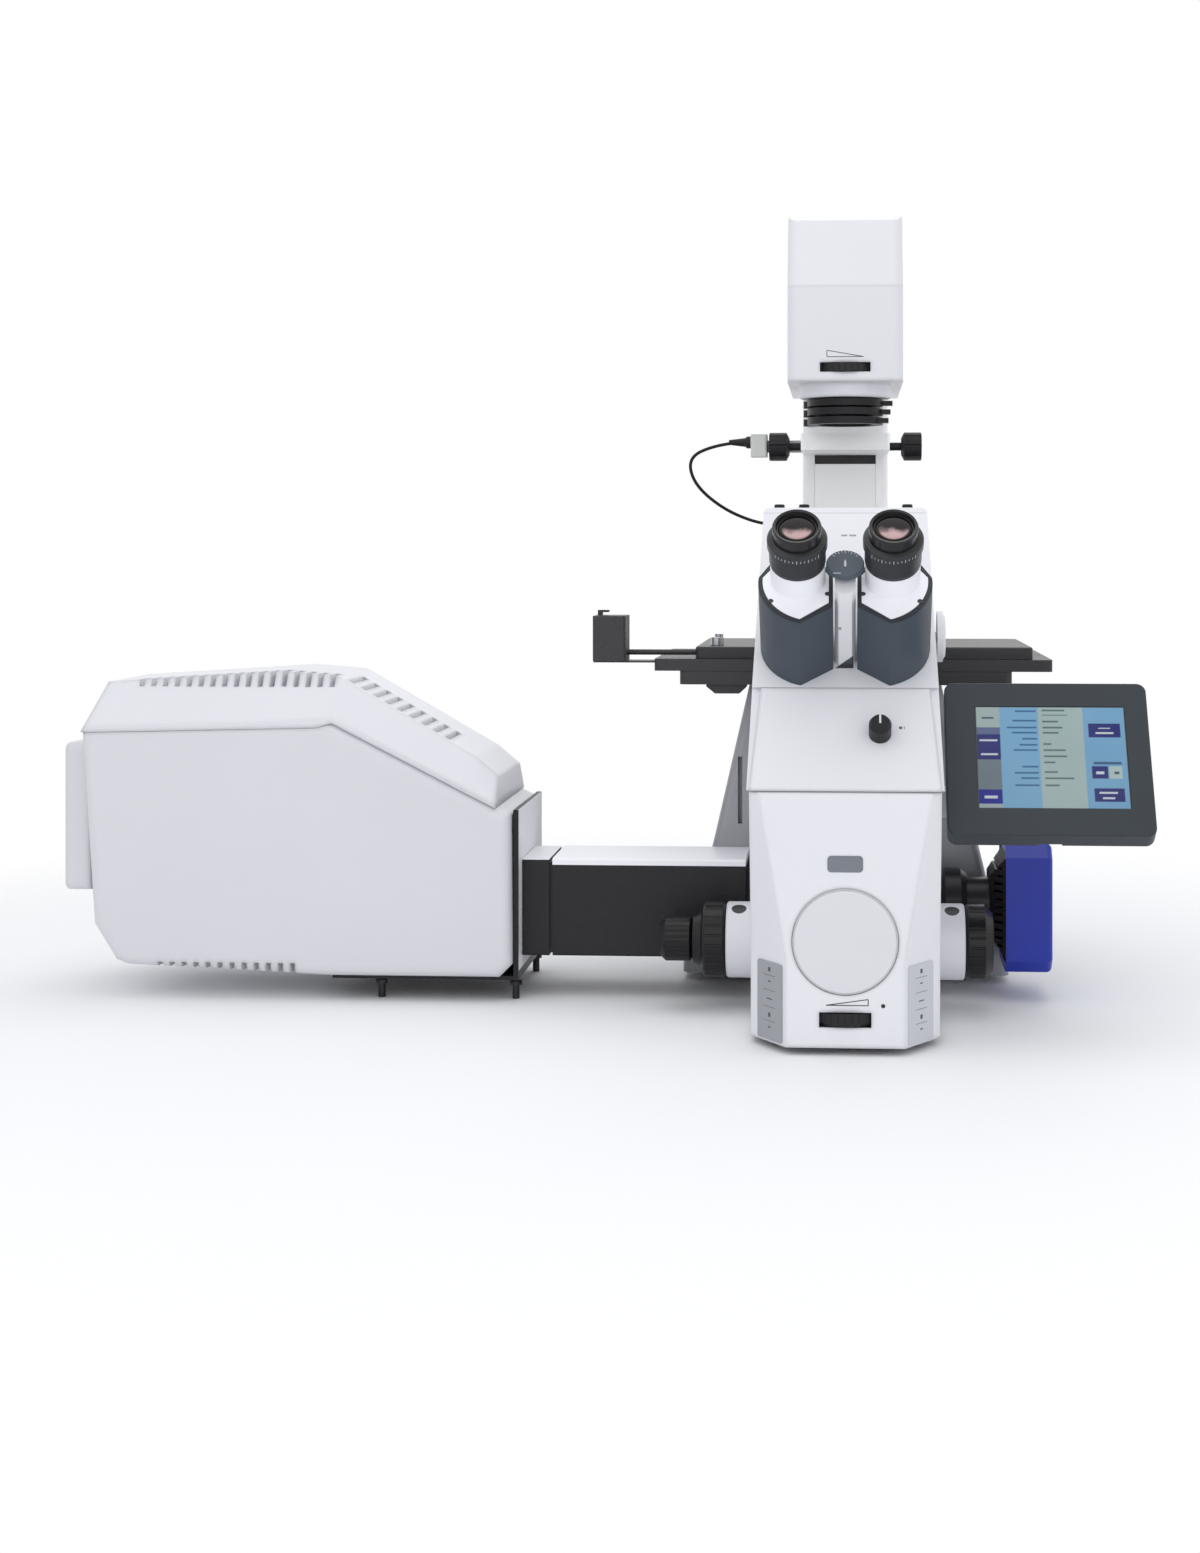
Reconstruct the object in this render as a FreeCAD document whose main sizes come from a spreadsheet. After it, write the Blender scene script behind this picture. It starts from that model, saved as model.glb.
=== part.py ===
"""Confocal microscope: an inverted stand with its scan head, camera, display and light arm.

Directions: X to the right, Y away from the user, Z up from the bench. The sizes below are measured
from the optical axis of the stand; every piece is then shifted so that the whole stands centred.
"""
import FreeCAD, Part
import math
import os
import re
import Sketcher
from FreeCAD import Placement, Rotation, Vector

doc = FreeCAD.newDocument("confocal_microscope")
dims = doc.addObject("Spreadsheet::Sheet", "dims")

ORIGIN_ROLES = {"XY": "XY_Plane", "XZ": "XZ_Plane", "YZ": "YZ_Plane"}
aliases = set()
pieces = []


def sizes(*rows):
    """Writes driving dimensions into the sheet: name, value in mm or degrees, what it is."""
    for alias, number, meaning in rows:
        line = str(len(aliases) + 1)
        dims.set("A" + line, alias)
        dims.set("B" + line, str(number))
        dims.setAlias("B" + line, alias)
        dims.set("C" + line, meaning)
        aliases.add(alias)
    doc.recompute()


def formula(text):
    """Names the sheet before each of its cells in a formula."""
    return re.sub(r"[a-z][a-z_]+", lambda word: ("dims." if word.group() in aliases else "") + word.group(), str(text))


def value(text):
    """The number that a formula of the sheet's cells gives now."""
    return float(dims.evalExpression(formula(text)))


def bind(item, **formulas):
    """Ties properties to the sheet; a double underscore stands for a dot."""
    for name, text in formulas.items():
        item.setExpression(name.replace("__", "."), formula(text))


SHIFT_X = "(reach_left - reach_right) / 2"
EYECUP_REACH = "((eyecup_radius - 0.8) * cos(eye_tilt * 1 deg) + eyecup_lip * sin(eye_tilt * 1 deg))"
SHIFT_Y = "(column_front + %s - reach_back) / 2" % EYECUP_REACH


def seat(item, across="0", depth="0", height="0", turn=None, axis=(1, 0, 0)):
    """Places an object from the optical axis at bench height, turned by a formula in degrees."""
    if turn is not None:
        item.Placement = Placement(Vector(), Rotation(Vector(*axis), value(turn)))
        bind(item, Placement__Rotation__Angle=turn)
    bind(item, Placement__Base__x="%s + %s" % (SHIFT_X, across), Placement__Base__y="%s + %s" % (SHIFT_Y, depth),
         Placement__Base__z=height)
    return item


def new_body(name, across="0", depth="0", height="0", turn=None, axis=(1, 0, 0)):
    body = doc.addObject("PartDesign::Body", name)
    return seat(body, across, depth, height, turn, axis)


def new_sketch(body, plane, offset):
    """A sketch on one of the body's own origin planes, moved along the plane's normal (XZ looks along -Y)."""
    sketch = body.newObject("Sketcher::SketchObject", body.Name + "_sketch")
    role = ORIGIN_ROLES[plane]
    sketch.AttachmentSupport = ([item for item in body.Origin.OriginFeatures if item.Role == role][0], [""])
    sketch.MapMode = "FlatFace"
    bind(sketch, AttachmentOffset__Base__z=offset)
    return sketch


def pin_point(sketch, shape, end, across, up):
    """Holds one point of the sketch at two formulas."""
    for kind, text in (("DistanceX", across), ("DistanceY", up)):
        index = sketch.addConstraint(Sketcher.Constraint(kind, shape, end, value(text)))
        sketch.setExpression("Constraints[%d]" % index, formula(text))


def arc_between(start, end, radius, side):
    """The arc from one point to another with its centre on the left (1) or the right (-1) of the way."""
    chord = end - start
    half = chord.Length / 2
    left = Vector(-chord.y, chord.x, 0).normalize()
    centre = (start + end) / 2 + left * side * math.sqrt(max(radius ** 2 - half ** 2, 0))
    first, last = (start, end) if side > 0 else (end, start)
    turns = [math.atan2(spot.y - centre.y, spot.x - centre.x) for spot in (first, last)]
    if turns[1] < turns[0]:
        turns[1] += 2 * math.pi
    return Part.ArcOfCircle(Part.Circle(centre, Vector(0, 0, 1), radius), turns[0], turns[1])


def outline(body, plane, points, offset="0"):
    """A closed outline through points given as two formulas; a radius and a side after them bend the next edge."""
    sketch = new_sketch(body, plane, offset)
    spots = [Vector(value(point[0]), value(point[1]), 0) for point in points]
    count = len(points)
    ends = []
    for index, point in enumerate(points):
        start, end = spots[index], spots[(index + 1) % count]
        if len(point) == 4:
            sketch.addGeometry(arc_between(start, end, value(point[2]), point[3]), False)
            limit = sketch.addConstraint(Sketcher.Constraint("Radius", index, value(point[2])))
            sketch.setExpression("Constraints[%d]" % limit, formula(point[2]))
            ends.append((1, 2) if point[3] > 0 else (2, 1))
        else:
            sketch.addGeometry(Part.LineSegment(start, end), False)
            ends.append((1, 2))
    for index in range(count):
        after = (index + 1) % count
        sketch.addConstraint(Sketcher.Constraint("Coincident", index, ends[index][1], after, ends[after][0]))
    for index, point in enumerate(points):
        pin_point(sketch, index, ends[index][0], point[0], point[1])
    return sketch


def circles(body, plane, radius, centres=(("0", "0"),), offset="0"):
    """Circles of one radius round centres given as pairs of formulas."""
    sketch = new_sketch(body, plane, offset)
    for across, up in centres:
        index = sketch.addGeometry(Part.Circle(Vector(value(across), value(up), 0), Vector(0, 0, 1), value(radius)), False)
        limit = sketch.addConstraint(Sketcher.Constraint("Radius", index, value(radius)))
        sketch.setExpression("Constraints[%d]" % limit, formula(radius))
        pin_point(sketch, index, 3, across, up)
    return sketch


def pad(body, sketch, length):
    """Adds material along the sketch's normal."""
    feature = body.newObject("PartDesign::Pad", body.Name + "_pad")
    feature.Profile = sketch
    bind(feature, Length=length)
    return feature


def pocket(body, sketch, length):
    """Cuts along the sketch's normal."""
    feature = body.newObject("PartDesign::Pocket", body.Name + "_pocket")
    feature.Profile = sketch
    feature.Reversed = True
    bind(feature, Length=length)
    return feature


def spin(body, sketch, axis="V_Axis", kind="Revolution"):
    """A full turn of a sketch about its own vertical or horizontal axis."""
    feature = body.newObject("PartDesign::" + kind, body.Name + "_turn")
    feature.Profile = sketch
    feature.ReferenceAxis = (sketch, [axis])
    feature.Angle = 360
    return feature


def loft(body, low, high, kind="AdditiveLoft"):
    """A ruled loft between two sketches."""
    feature = body.newObject("PartDesign::" + kind, body.Name + "_loft")
    feature.Profile = low
    feature.Sections = [high]
    feature.Ruled = True
    return feature


def copies(body, features, kind, axis, count, **limits):
    """Repeats features of a body round or along one of its origin axes."""
    pattern = body.newObject("PartDesign::" + kind, body.Name + "_pattern")
    pattern.Originals = features
    line = [item for item in body.Origin.OriginFeatures if item.Role == axis][0]
    if kind == "PolarPattern":
        pattern.Axis = (line, [""])
        pattern.Angle = 360
    else:
        pattern.Direction = (line, [""])
        bind(pattern, **limits)
    pattern.Occurrences = count
    body.Tip = pattern
    return pattern


def mirror(body, features, plane):
    """Repeats features on the other side of one of the body's origin planes."""
    pattern = body.newObject("PartDesign::Mirrored", body.Name + "_mirror")
    pattern.Originals = features
    role = ORIGIN_ROLES[plane]
    pattern.MirrorPlane = ([item for item in body.Origin.OriginFeatures if item.Role == role][0], [""])
    body.Tip = pattern
    return pattern


def edge_names(shape, test):
    """Names of the edges whose middle and direction pass a test."""
    found = []
    for index, edge in enumerate(shape.Edges):
        first, last = edge.Vertexes[0].Point, edge.Vertexes[-1].Point
        middle = edge.valueAt((edge.FirstParameter + edge.LastParameter) / 2)
        along = (last - first).normalize() if (last - first).Length > 1e-6 else Vector()
        if test(middle, along):
            found.append("Edge%d" % (index + 1))
    return found


def soften(body, radius, test, kind="Fillet"):
    """Rounds or bevels the edges of the body's last feature that pass a test in the body's own frame."""
    doc.recompute()
    last = body.Tip
    feature = body.newObject("PartDesign::" + kind, body.Name + "_edges")
    feature.Base = (last, edge_names(last.Shape, test))
    bind(feature, **{"Radius" if kind == "Fillet" else "Size": radius})
    return feature


def along_x(middle, along):
    return abs(along.x) > 0.999


def along_y(middle, along):
    return abs(along.y) > 0.999


def along_z(middle, along):
    return abs(along.z) > 0.999


def piece(item, name=None):
    """Keeps an object as a piece of its own that is written to parts."""
    item.Label = name or item.Name
    pieces.append(item)
    return item


def joined(name, first, *others):
    """One piece of several solids or features, joined."""
    item = doc.addObject("Part::MultiFuse", name)
    item.Shapes = [first] + list(others)
    return item


def group(name, *members):
    """Separate solids that share one name."""
    item = doc.addObject("Part::Compound", name)
    item.Links = list(members)
    return piece(item)


def cut_from(name, base, *tools):
    """A piece with the shapes of others taken out of it."""
    for index, tool in enumerate(tools):
        item = doc.addObject("Part::Cut", name if index == len(tools) - 1 else name + "_cut")
        item.Base = base
        item.Tool = tool
        base = item
    return base

sizes(
    ("reach_left", 699, "left end of the scan head from the optical axis"),
    ("reach_right", 248, "right end of the display"),
    ("reach_back", 326, "rear end of the lamp module"),
    ("running_gap", 0.3, "clearance between pieces that move past each other"),
    ("shaft_gap", 0.05, "radial clearance of a shaft in its bore"),
    ("cover_wall", 3, "wall of the moulded covers"),
    ("foot_height", 6, "rubber feet"),
    ("foot_radius", 14, "rubber feet"),
    ("column_half", 76, "half width of the front column"),
    ("column_front", 390, "front face of the column, and the eye lenses, before the optical axis"),
    ("column_rear", 78, "rear edge of the column cover"),
    ("column_seam", 207, "height of the seam under the leaning panel"),
    ("corner_wide", 29, "corner facet at the base, across"),
    ("corner_deep", 45, "corner facet at the base, along the depth"),
    ("corner_top", 76, "height up to which the corner facet stays flat"),
    ("seam_corner", 7, "corner facet at the seam"),
    ("panel_setback", 59, "how far the leaning panel goes back"),
    ("panel_rise", 78, "height of the leaning panel"),
    ("panel_top_half", 68.5, "half width of the panel at its top"),
    ("panel_thick", 4, "thickness of the leaning panel"),
    ("port_radius", 40, "round front port"),
    ("port_height", 89.3, "height of the port's centre"),
    ("port_groove", 2, "ring groove round the port cap"),
    ("key_wide", 37, "control strip along the facet"),
    ("key_low", 8, "lower edge of the control strips"),
    ("key_high", 70, "upper edge of the control strips"),
    ("key_thick", 1.2, "thickness of the control strips"),
    ("key_edge", 4, "strip from the front edge of the facet"),
    ("window_half", 20.5, "half width of the thumbwheel window"),
    ("window_low", 22, "lower edge of the thumbwheel window"),
    ("window_high", 34, "upper edge of the thumbwheel window"),
    ("wheel_radius", 32, "brightness thumbwheel"),
    ("wheel_pin", 3, "radius of the thumbwheels' pins"),
    ("tongue_front", 326, "front of the casting's tongue inside the cover"),
    ("floor_top", 13, "upper face of the floor plate that carries the thumbwheel"),
    ("drive_height", 60, "height of the focus drive shaft"),
    ("drive_depth", 210, "focus shaft in front of the optical axis"),
    ("collar_radius", 32.5, "white collars of the focus drive"),
    ("collar_end", 102, "outer face of the collars"),
    ("coarse_radius", 32.3, "coarse focus knobs"),
    ("coarse_left", 131, "outer face of the left coarse knob"),
    ("coarse_right", 126, "outer face of the right coarse knob"),
    ("coarse_shaft", 9, "radius of the hollow coarse shaft"),
    ("fine_radius", 18.8, "fine focus knob"),
    ("fine_end", 159, "outer face of the fine knob"),
    ("fine_shaft", 4, "radius of the fine shaft"),
    ("wing_front", 75, "front of the silver casting before the optical axis"),
    ("wing_rear", 210, "rear of the silver casting behind the optical axis"),
    ("wing_foot_half", 150, "half width of the casting at the base"),
    ("wing_waist_half", 120, "half width of the casting at the waist"),
    ("wing_waist", 135, "height of the waist"),
    ("wing_top_half", 88, "half width of the casting under the stage"),
    ("wing_low", 14, "lower edge of the casting's flanks"),
    ("wing_edge", 8, "rounding of the casting's front edges"),
    ("slot_across", 97, "dark slot in the casting's front, from the axis"),
    ("slot_low", 144, "lower end of the slot"),
    ("slot_high", 206, "upper end of the slot"),
    ("stage_under", 275, "underside of the stage frame"),
    ("well_half", 62, "half width of the nosepiece well"),
    ("well_front", 52, "front wall of the nosepiece well"),
    ("well_rear", 104, "rear wall of the nosepiece well"),
    ("well_floor", 104, "floor of the nosepiece well"),
    ("hinge_depth", 196, "hinge of the light arm behind the optical axis"),
    ("hinge_rise", 13, "hinge above the casting's top"),
    ("hinge_pin", 5, "radius of the hinge pin"),
    ("hinge_radius", 12, "radius of the hinge knuckle"),
    ("knuckle_half", 22, "half width of the pillar's knuckle"),
    ("ear_half", 44, "half width over the casting's ears"),
    ("eye_height", 414, "height of the eye lenses"),
    ("eye_tilt", 45, "viewing angle of the binocular head from the vertical"),
    ("eyecup_radius", 19.5, "rim of the eyecups"),
    ("eyecup_lip", 2.6, "rim of the eyecups in front of the eye lenses"),
    ("selector_across", 27.7, "selector knob from the middle"),
    ("selector_height", 250, "height of the selector knob's centre on the panel"),
    ("selector_radius", 9, "selector knob"),
    ("selector_length", 18, "selector knob's length from the panel"),
    ("selector_shaft", 3, "selector knob's shaft"),
)

# Front column cover: a sleeve whose corner facets are flat at the base and close up towards the seam


def column_outline(body, inset, wide, deep, height):
    half = "(column_half - %s)" % inset
    front = "(column_front - %s)" % inset
    return outline(body, "XY", [
        ("-" + half, "-column_rear"),
        ("-" + half, "-(%s - %s)" % (front, deep)),
        ("-(%s - %s)" % (half, wide), "-" + front),
        ("%s - %s" % (half, wide), "-" + front),
        (half, "-(%s - %s)" % (front, deep)),
        (half, "-column_rear"),
    ], height)


def rectangle(body, plane, left, right, low, high, offset="0"):
    return outline(body, plane, [(left, low), (right, low), (right, high), (left, high)], offset)


shell = new_body("column_shell")
pad(shell, column_outline(shell, "0", "corner_wide", "corner_deep", "foot_height"), "corner_top - foot_height")
loft(shell, column_outline(shell, "0", "corner_wide", "corner_deep", "corner_top"),
     column_outline(shell, "0", "seam_corner", "seam_corner", "column_seam"))
pocket(shell, column_outline(shell, "cover_wall", "corner_wide", "corner_deep", "foot_height"),
       "corner_top - foot_height")
loft(shell, column_outline(shell, "cover_wall", "corner_wide", "corner_deep", "corner_top"),
     column_outline(shell, "cover_wall", "seam_corner", "seam_corner", "column_seam"), "SubtractiveLoft")
pocket(shell, rectangle(shell, "XZ", "-window_half", "window_half", "window_low", "window_high",
                        "column_front - 2 * cover_wall"), "3 * cover_wall")
pocket(shell, circles(shell, "XZ", "port_radius + port_groove", [("0", "port_height")],
                      "column_front - 2 * cover_wall"), "3 * cover_wall")
pocket(shell, circles(shell, "YZ", "coarse_shaft + cover_wall", [("-drive_depth", "drive_height")],
                      "-column_half - cover_wall"), "2 * (column_half + cover_wall)")
piece(shell)

# Silver casting: flanks like an A, a tongue inside the column cover, a well for the nosepiece and hinge ears

casting = new_body("base_casting")
pad(casting, outline(casting, "XZ", [
    ("-wing_foot_half", "foot_height"),
    ("wing_foot_half", "foot_height"),
    ("wing_foot_half", "wing_low"),
    ("wing_waist_half", "wing_waist"),
    ("wing_top_half", "stage_under"),
    ("-wing_top_half", "stage_under"),
    ("-wing_waist_half", "wing_waist"),
    ("-wing_foot_half", "wing_low"),
], "-wing_rear"), "wing_front + wing_rear")
soften(casting, "wing_edge", lambda middle, along: abs(along.z) > 0.8)
tongue_half = "column_half - cover_wall - running_gap"
pad(casting, rectangle(casting, "XY", "-(%s)" % tongue_half, tongue_half, "-tongue_front", "-wing_front + 1",
                       "foot_height"), "column_seam - foot_height")
pad(casting, column_outline(casting, "(cover_wall + running_gap)", "corner_wide", "corner_deep", "foot_height"),
    "floor_top - foot_height")
window_room = "(window_half - running_gap)"
wheel_middle = "(column_front - cover_wall - sqrt(wheel_radius * wheel_radius - %s * %s))" % (window_room, window_room)
pocket(casting, circles(casting, "XY", "wheel_pin + shaft_gap", [("0", "-" + wheel_middle)], "foot_height"),
       "floor_top - foot_height")
pocket(casting, circles(casting, "YZ", "coarse_shaft + shaft_gap", [("-drive_depth", "drive_height")],
                        "-column_half"), "2 * column_half")
pocket(casting, rectangle(casting, "XY", "-well_half", "well_half", "-well_front", "well_rear", "well_floor"),
       "stage_under - well_floor")
pocket(casting, rectangle(casting, "XZ", "-slot_across - 2", "-slot_across + 2", "slot_low", "slot_high",
                          "wing_front - 12"), "12")
for side in (-1, 1):
    inner, outer = sorted(("%d * (knuckle_half + running_gap)" % side, "%d * ear_half" % side),
                          key=lambda text: value(text))
    pad(casting, outline(casting, "YZ", [
        ("hinge_depth - hinge_radius", "stage_under"),
        ("hinge_depth + hinge_radius", "stage_under"),
        ("hinge_depth + hinge_radius", "stage_under + hinge_rise", "hinge_radius", 1),
        ("hinge_depth", "stage_under + hinge_rise + hinge_radius", "hinge_radius", 1),
        ("hinge_depth - hinge_radius", "stage_under + hinge_rise"),
    ], inner), "ear_half - knuckle_half - running_gap")
pocket(casting, circles(casting, "YZ", "hinge_pin + shaft_gap", [("hinge_depth", "stage_under + hinge_rise")],
                        "-ear_half"), "2 * ear_half")
piece(casting)

# Feet, front panel, port cap and control strips

foot_solids = []
for index, (across, depth) in enumerate((("-(column_half - corner_wide)", "-(column_front - corner_deep)"),
                                         ("column_half - corner_wide", "-(column_front - corner_deep)"),
                                         ("-(wing_foot_half - 2 * foot_radius)", "wing_rear - 2 * foot_radius"),
                                         ("wing_foot_half - 2 * foot_radius", "wing_rear - 2 * foot_radius"))):
    foot = new_body("foot_%d" % index, across, depth)
    spin(foot, outline(foot, "XZ", [
        ("0", "0"), ("foot_radius - 2", "0"), ("foot_radius", "2"), ("foot_radius", "foot_height"), ("0", "foot_height"),
    ]))
    foot_solids.append(foot)
group("base_feet", *foot_solids)

panel_lean = "(atan(panel_setback / panel_rise) / 1 deg)"
panel_depth = "(panel_thick / cos(%s * 1 deg))" % panel_lean
panel_blank = new_body("panel_blank")
pad(panel_blank, outline(panel_blank, "YZ", [
    ("-column_front", "column_seam + running_gap"),
    ("-column_front + panel_setback", "column_seam + panel_rise"),
    ("-column_front + panel_setback + " + panel_depth, "column_seam + panel_rise"),
    ("-column_front + " + panel_depth, "column_seam + running_gap"),
], "-column_half"), "2 * column_half")
for side in (-1, 1):
    pocket(panel_blank, outline(panel_blank, "XZ", [
        ("%d * column_half" % side, "column_seam"),
        ("%d * 2 * column_half" % side, "column_seam"),
        ("%d * 2 * column_half" % side, "column_seam + panel_rise"),
        ("%d * panel_top_half" % side, "column_seam + panel_rise"),
    ], "column_front - 2 * panel_setback"), "3 * panel_setback")
selector_depth = "-column_front + (selector_height - column_seam) * panel_setback / panel_rise"
selector_bore = doc.addObject("Part::Cylinder", "selector_bore")
bind(selector_bore, Radius="selector_shaft + shaft_gap", Height="4 * panel_thick")
bore_turn = "-90 - " + panel_lean
seat(selector_bore, "selector_across", selector_depth + " - 2 * panel_thick * cos(%s * 1 deg)" % panel_lean,
     "selector_height + 2 * panel_thick * sin(%s * 1 deg)" % panel_lean, bore_turn)
piece(cut_from("front_panel", panel_blank, selector_bore))

cap = new_body("port_cap", "0", "-column_front", "port_height")
spin(cap, outline(cap, "XY", [
    ("0", "0"),
    ("port_radius", "0"),
    ("port_radius", "cover_wall / 2"),
    ("port_radius + port_groove - running_gap", "cover_wall / 2"),
    ("port_radius + port_groove - running_gap", "cover_wall"),
    ("0", "cover_wall"),
]))
piece(cap)

facet_length = "sqrt(corner_wide * corner_wide + corner_deep * corner_deep)"
for side, name in ((-1, "keypad_left"), (1, "keypad_right")):
    strip = new_body(name, "%d * (column_half - corner_wide)" % side, "-column_front", "0",
                     "%d * atan(corner_deep / corner_wide)" % side, (0, 0, 1))
    near, far = ("key_edge", "key_edge + key_wide")
    if side < 0:
        near, far = ("-(%s)" % far, "-(%s)" % near)
    pad(strip, rectangle(strip, "XZ", near, far, "key_low", "key_high"), "key_thick")
    soften(strip, "key_thick * 2", along_y)
    piece(strip)

# Selector knob on the panel: a tapered grip on a shaft, turned by a quarter

knob = new_body("selector_knob", "selector_across", selector_depth, "selector_height", "-1 * " + panel_lean)
spin(knob, outline(knob, "XY", [
    ("0", "-selector_length"),
    ("selector_radius * 0.8", "-selector_length"),
    ("selector_radius", "-selector_length * 0.8"),
    ("selector_radius", "-running_gap"),
    ("selector_shaft", "-running_gap"),
    ("selector_shaft", "panel_thick"),
    ("0", "panel_thick"),
]))
pocket(knob, rectangle(knob, "XZ", "-0.5", "0.5", "0", "selector_radius", "selector_length - 1"), "2")
piece(knob)

# Brightness thumbwheel, lying behind the window on an upright pin

wheel = new_body("brightness_wheel", "0", "-" + wheel_middle)
spin(wheel, outline(wheel, "XZ", [
    ("0", "foot_height + 1"),
    ("wheel_pin", "foot_height + 1"),
    ("wheel_pin", "floor_top + running_gap"),
    ("wheel_radius / 3", "floor_top + running_gap"),
    ("wheel_radius / 3", "window_low + 1"),
    ("wheel_radius - 2", "window_low + 1"),
    ("wheel_radius", "window_low + 4"),
    ("wheel_radius", "window_high - 1"),
    ("0", "window_high - 1"),
]))
notch = pocket(wheel, circles(wheel, "XY", "0.8", [("wheel_radius + 0.3", "0")], "window_low"), "window_high - window_low")
copies(wheel, [notch], "PolarPattern", "Z_Axis", 36)
piece(wheel)

# Focus drive: white collars with a dark recess, black knobs on nested shafts

collars = []
for side, name in ((-1, "left_collar"), (1, "right_collar")):
    collar = new_body(name, "0", "-drive_depth", "drive_height")
    spin(collar, outline(collar, "XY", [
        ("%d * column_half" % side, "coarse_shaft + shaft_gap"),
        ("%d * collar_end" % side, "coarse_shaft + shaft_gap"),
        ("%d * collar_end" % side, "collar_radius - 1.5"),
        ("%d * (collar_end - 1.5)" % side, "collar_radius"),
        ("%d * column_half" % side, "collar_radius"),
    ]), "H_Axis")
    collars.append(collar)
group("drive_collars", *collars)

coarse = new_body("coarse_knobs", "0", "-drive_depth", "drive_height")
spin(coarse, outline(coarse, "XY", [
    ("-coarse_left", "fine_shaft + shaft_gap"),
    ("-coarse_left", "coarse_radius * 0.62"),
    ("-coarse_left + 7", "coarse_radius * 0.72"),
    ("-coarse_left + 9", "coarse_radius - 1.5"),
    ("-coarse_left + 11", "coarse_radius"),
    ("-collar_end - 3", "coarse_radius"),
    ("-collar_end - 1", "coarse_radius - 1.5"),
    ("-collar_end - running_gap", "coarse_radius - 3"),
    ("-collar_end - running_gap", "coarse_shaft"),
    ("collar_end + running_gap", "coarse_shaft"),
    ("collar_end + running_gap", "coarse_radius - 3"),
    ("collar_end + 1", "coarse_radius - 1.5"),
    ("collar_end + 3", "coarse_radius"),
    ("coarse_right - 7", "coarse_radius"),
    ("coarse_right - 2", "coarse_radius * 0.84"),
    ("coarse_right", "coarse_radius * 0.78"),
    ("coarse_right", "fine_shaft + shaft_gap"),
]), "H_Axis")
grip = pocket(coarse, circles(coarse, "YZ", "1.1", [("0", "coarse_radius + 0.4")], "-coarse_left"),
              "coarse_left - collar_end - 4")
other_grip = pocket(coarse, circles(coarse, "YZ", "1.1", [("0", "coarse_radius + 0.4")], "collar_end + 4"),
                    "coarse_right - collar_end")
copies(coarse, [grip, other_grip], "PolarPattern", "X_Axis", 24)
piece(coarse)

fine = new_body("fine_knob", "0", "-drive_depth", "drive_height")
spin(fine, outline(fine, "XY", [
    ("-fine_end", "0"),
    ("-fine_end", "fine_radius * 0.8"),
    ("-fine_end + 4", "fine_radius"),
    ("-coarse_left - 3", "fine_radius"),
    ("-coarse_left - running_gap", "fine_radius * 0.8"),
    ("-coarse_left - running_gap", "fine_shaft"),
    ("coarse_right - 4", "fine_shaft"),
    ("coarse_right - 4", "0"),
]), "H_Axis")
ridge = pocket(fine, circles(fine, "YZ", "0.9", [("0", "fine_radius + 0.3")], "-fine_end"), "fine_end - coarse_left - 3")
copies(fine, [ridge], "PolarPattern", "X_Axis", 24)
piece(fine)

# Binocular head: a block whose front is square to the eye tubes; the tubes swing about an axis between them

sizes(
    ("head_foot_half", 78, "half width of the head block at the seam"),
    ("head_top_half", 71, "half width of the head block at its top"),
    ("head_top", 434, "top of the head block"),
    ("head_rear", 162, "rear of the head block before the optical axis"),
    ("head_edge", 5, "rounding of the head block"),
    ("swing_radius", 37.9, "eye tube from the swing axis"),
    ("swing_pin", 7, "radius of the pin that the tubes swing about"),
    ("flange_back", 57.5, "flange of the eye tubes behind the eye lenses"),
    ("tube_radius", 22, "white eye tubes"),
    ("tube_stand", 20, "white eye tube in front of its flange"),
    ("tube_bore", 15.5, "bore of the eye tubes"),
    ("hub_outer", 69.4, "outer side of the slate covers from the swing axis"),
    ("hub_prow", 36, "prow of the slate covers, across"),
    ("hub_drop", 47, "prow of the slate covers below the swing axis"),
    ("hub_inner", 9.8, "inner side of the slate covers"),
    ("hub_inner_drop", 29, "lower inner edge of the slate covers"),
    ("hub_rise", 25, "upper side of the slate covers above the swing axis"),
    ("rim_step", 1.6, "white flange plate inside the cover's rim"),
    ("disc_back", 38.9, "pupil disc behind the eye lenses"),
    ("disc_radius", 15.3, "pupil disc"),
    ("disc_thick", 4, "pupil disc"),
    ("spine_half", 8.4, "half width of the spine between the tubes"),
    ("spine_drop", 25, "front of the spine below the swing axis"),
    ("barrel_radius", 24, "collar of the eyepieces"),
    ("side_wheel_radius", 22, "side wheel of the head"),
    ("side_wheel_pin", 4, "pin of the side wheel"),
    ("side_wheel_depth", 200, "side wheel before the optical axis"),
    ("side_wheel_height", 322, "side wheel above the bench"),
)
EYE = ("0", "-column_front", "eye_height", "eye_tilt")
seat_back = "(panel_setback * sin(eye_tilt * 1 deg) + (eye_height - column_seam - panel_rise) * cos(eye_tilt * 1 deg))"
head_slope = "(head_top - column_seam - panel_rise) / tan(eye_tilt * 1 deg)"
block = new_body("head_block")
pad(block, outline(block, "YZ", [
    ("-column_front + running_gap + " + panel_depth, "column_seam"),
    ("-column_front + panel_setback + running_gap + " + panel_depth, "column_seam + panel_rise"),
    ("-column_front + panel_setback + running_gap", "column_seam + panel_rise + running_gap"),
    ("-column_front + panel_setback + " + head_slope, "head_top"),
    ("-head_rear", "head_top"),
    ("-head_rear", "column_seam"),
], "-head_foot_half"), "2 * head_foot_half")
for side in (-1, 1):
    pocket(block, outline(block, "XZ", [
        ("%d * head_foot_half" % side, "column_seam"),
        ("%d * 2 * head_foot_half" % side, "column_seam"),
        ("%d * 2 * head_foot_half" % side, "head_top + 1"),
        ("%d * head_top_half" % side, "head_top + 1"),
    ], "head_rear - 1"), "column_front")
pocket(block, circles(block, "YZ", "side_wheel_pin + shaft_gap", [("-side_wheel_depth", "side_wheel_height")],
                      "head_top_half - 10"), "20")
soften(block, "head_edge", lambda middle, along: middle.z > value("head_top") - 1 and abs(along.x) < 0.9)

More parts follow.
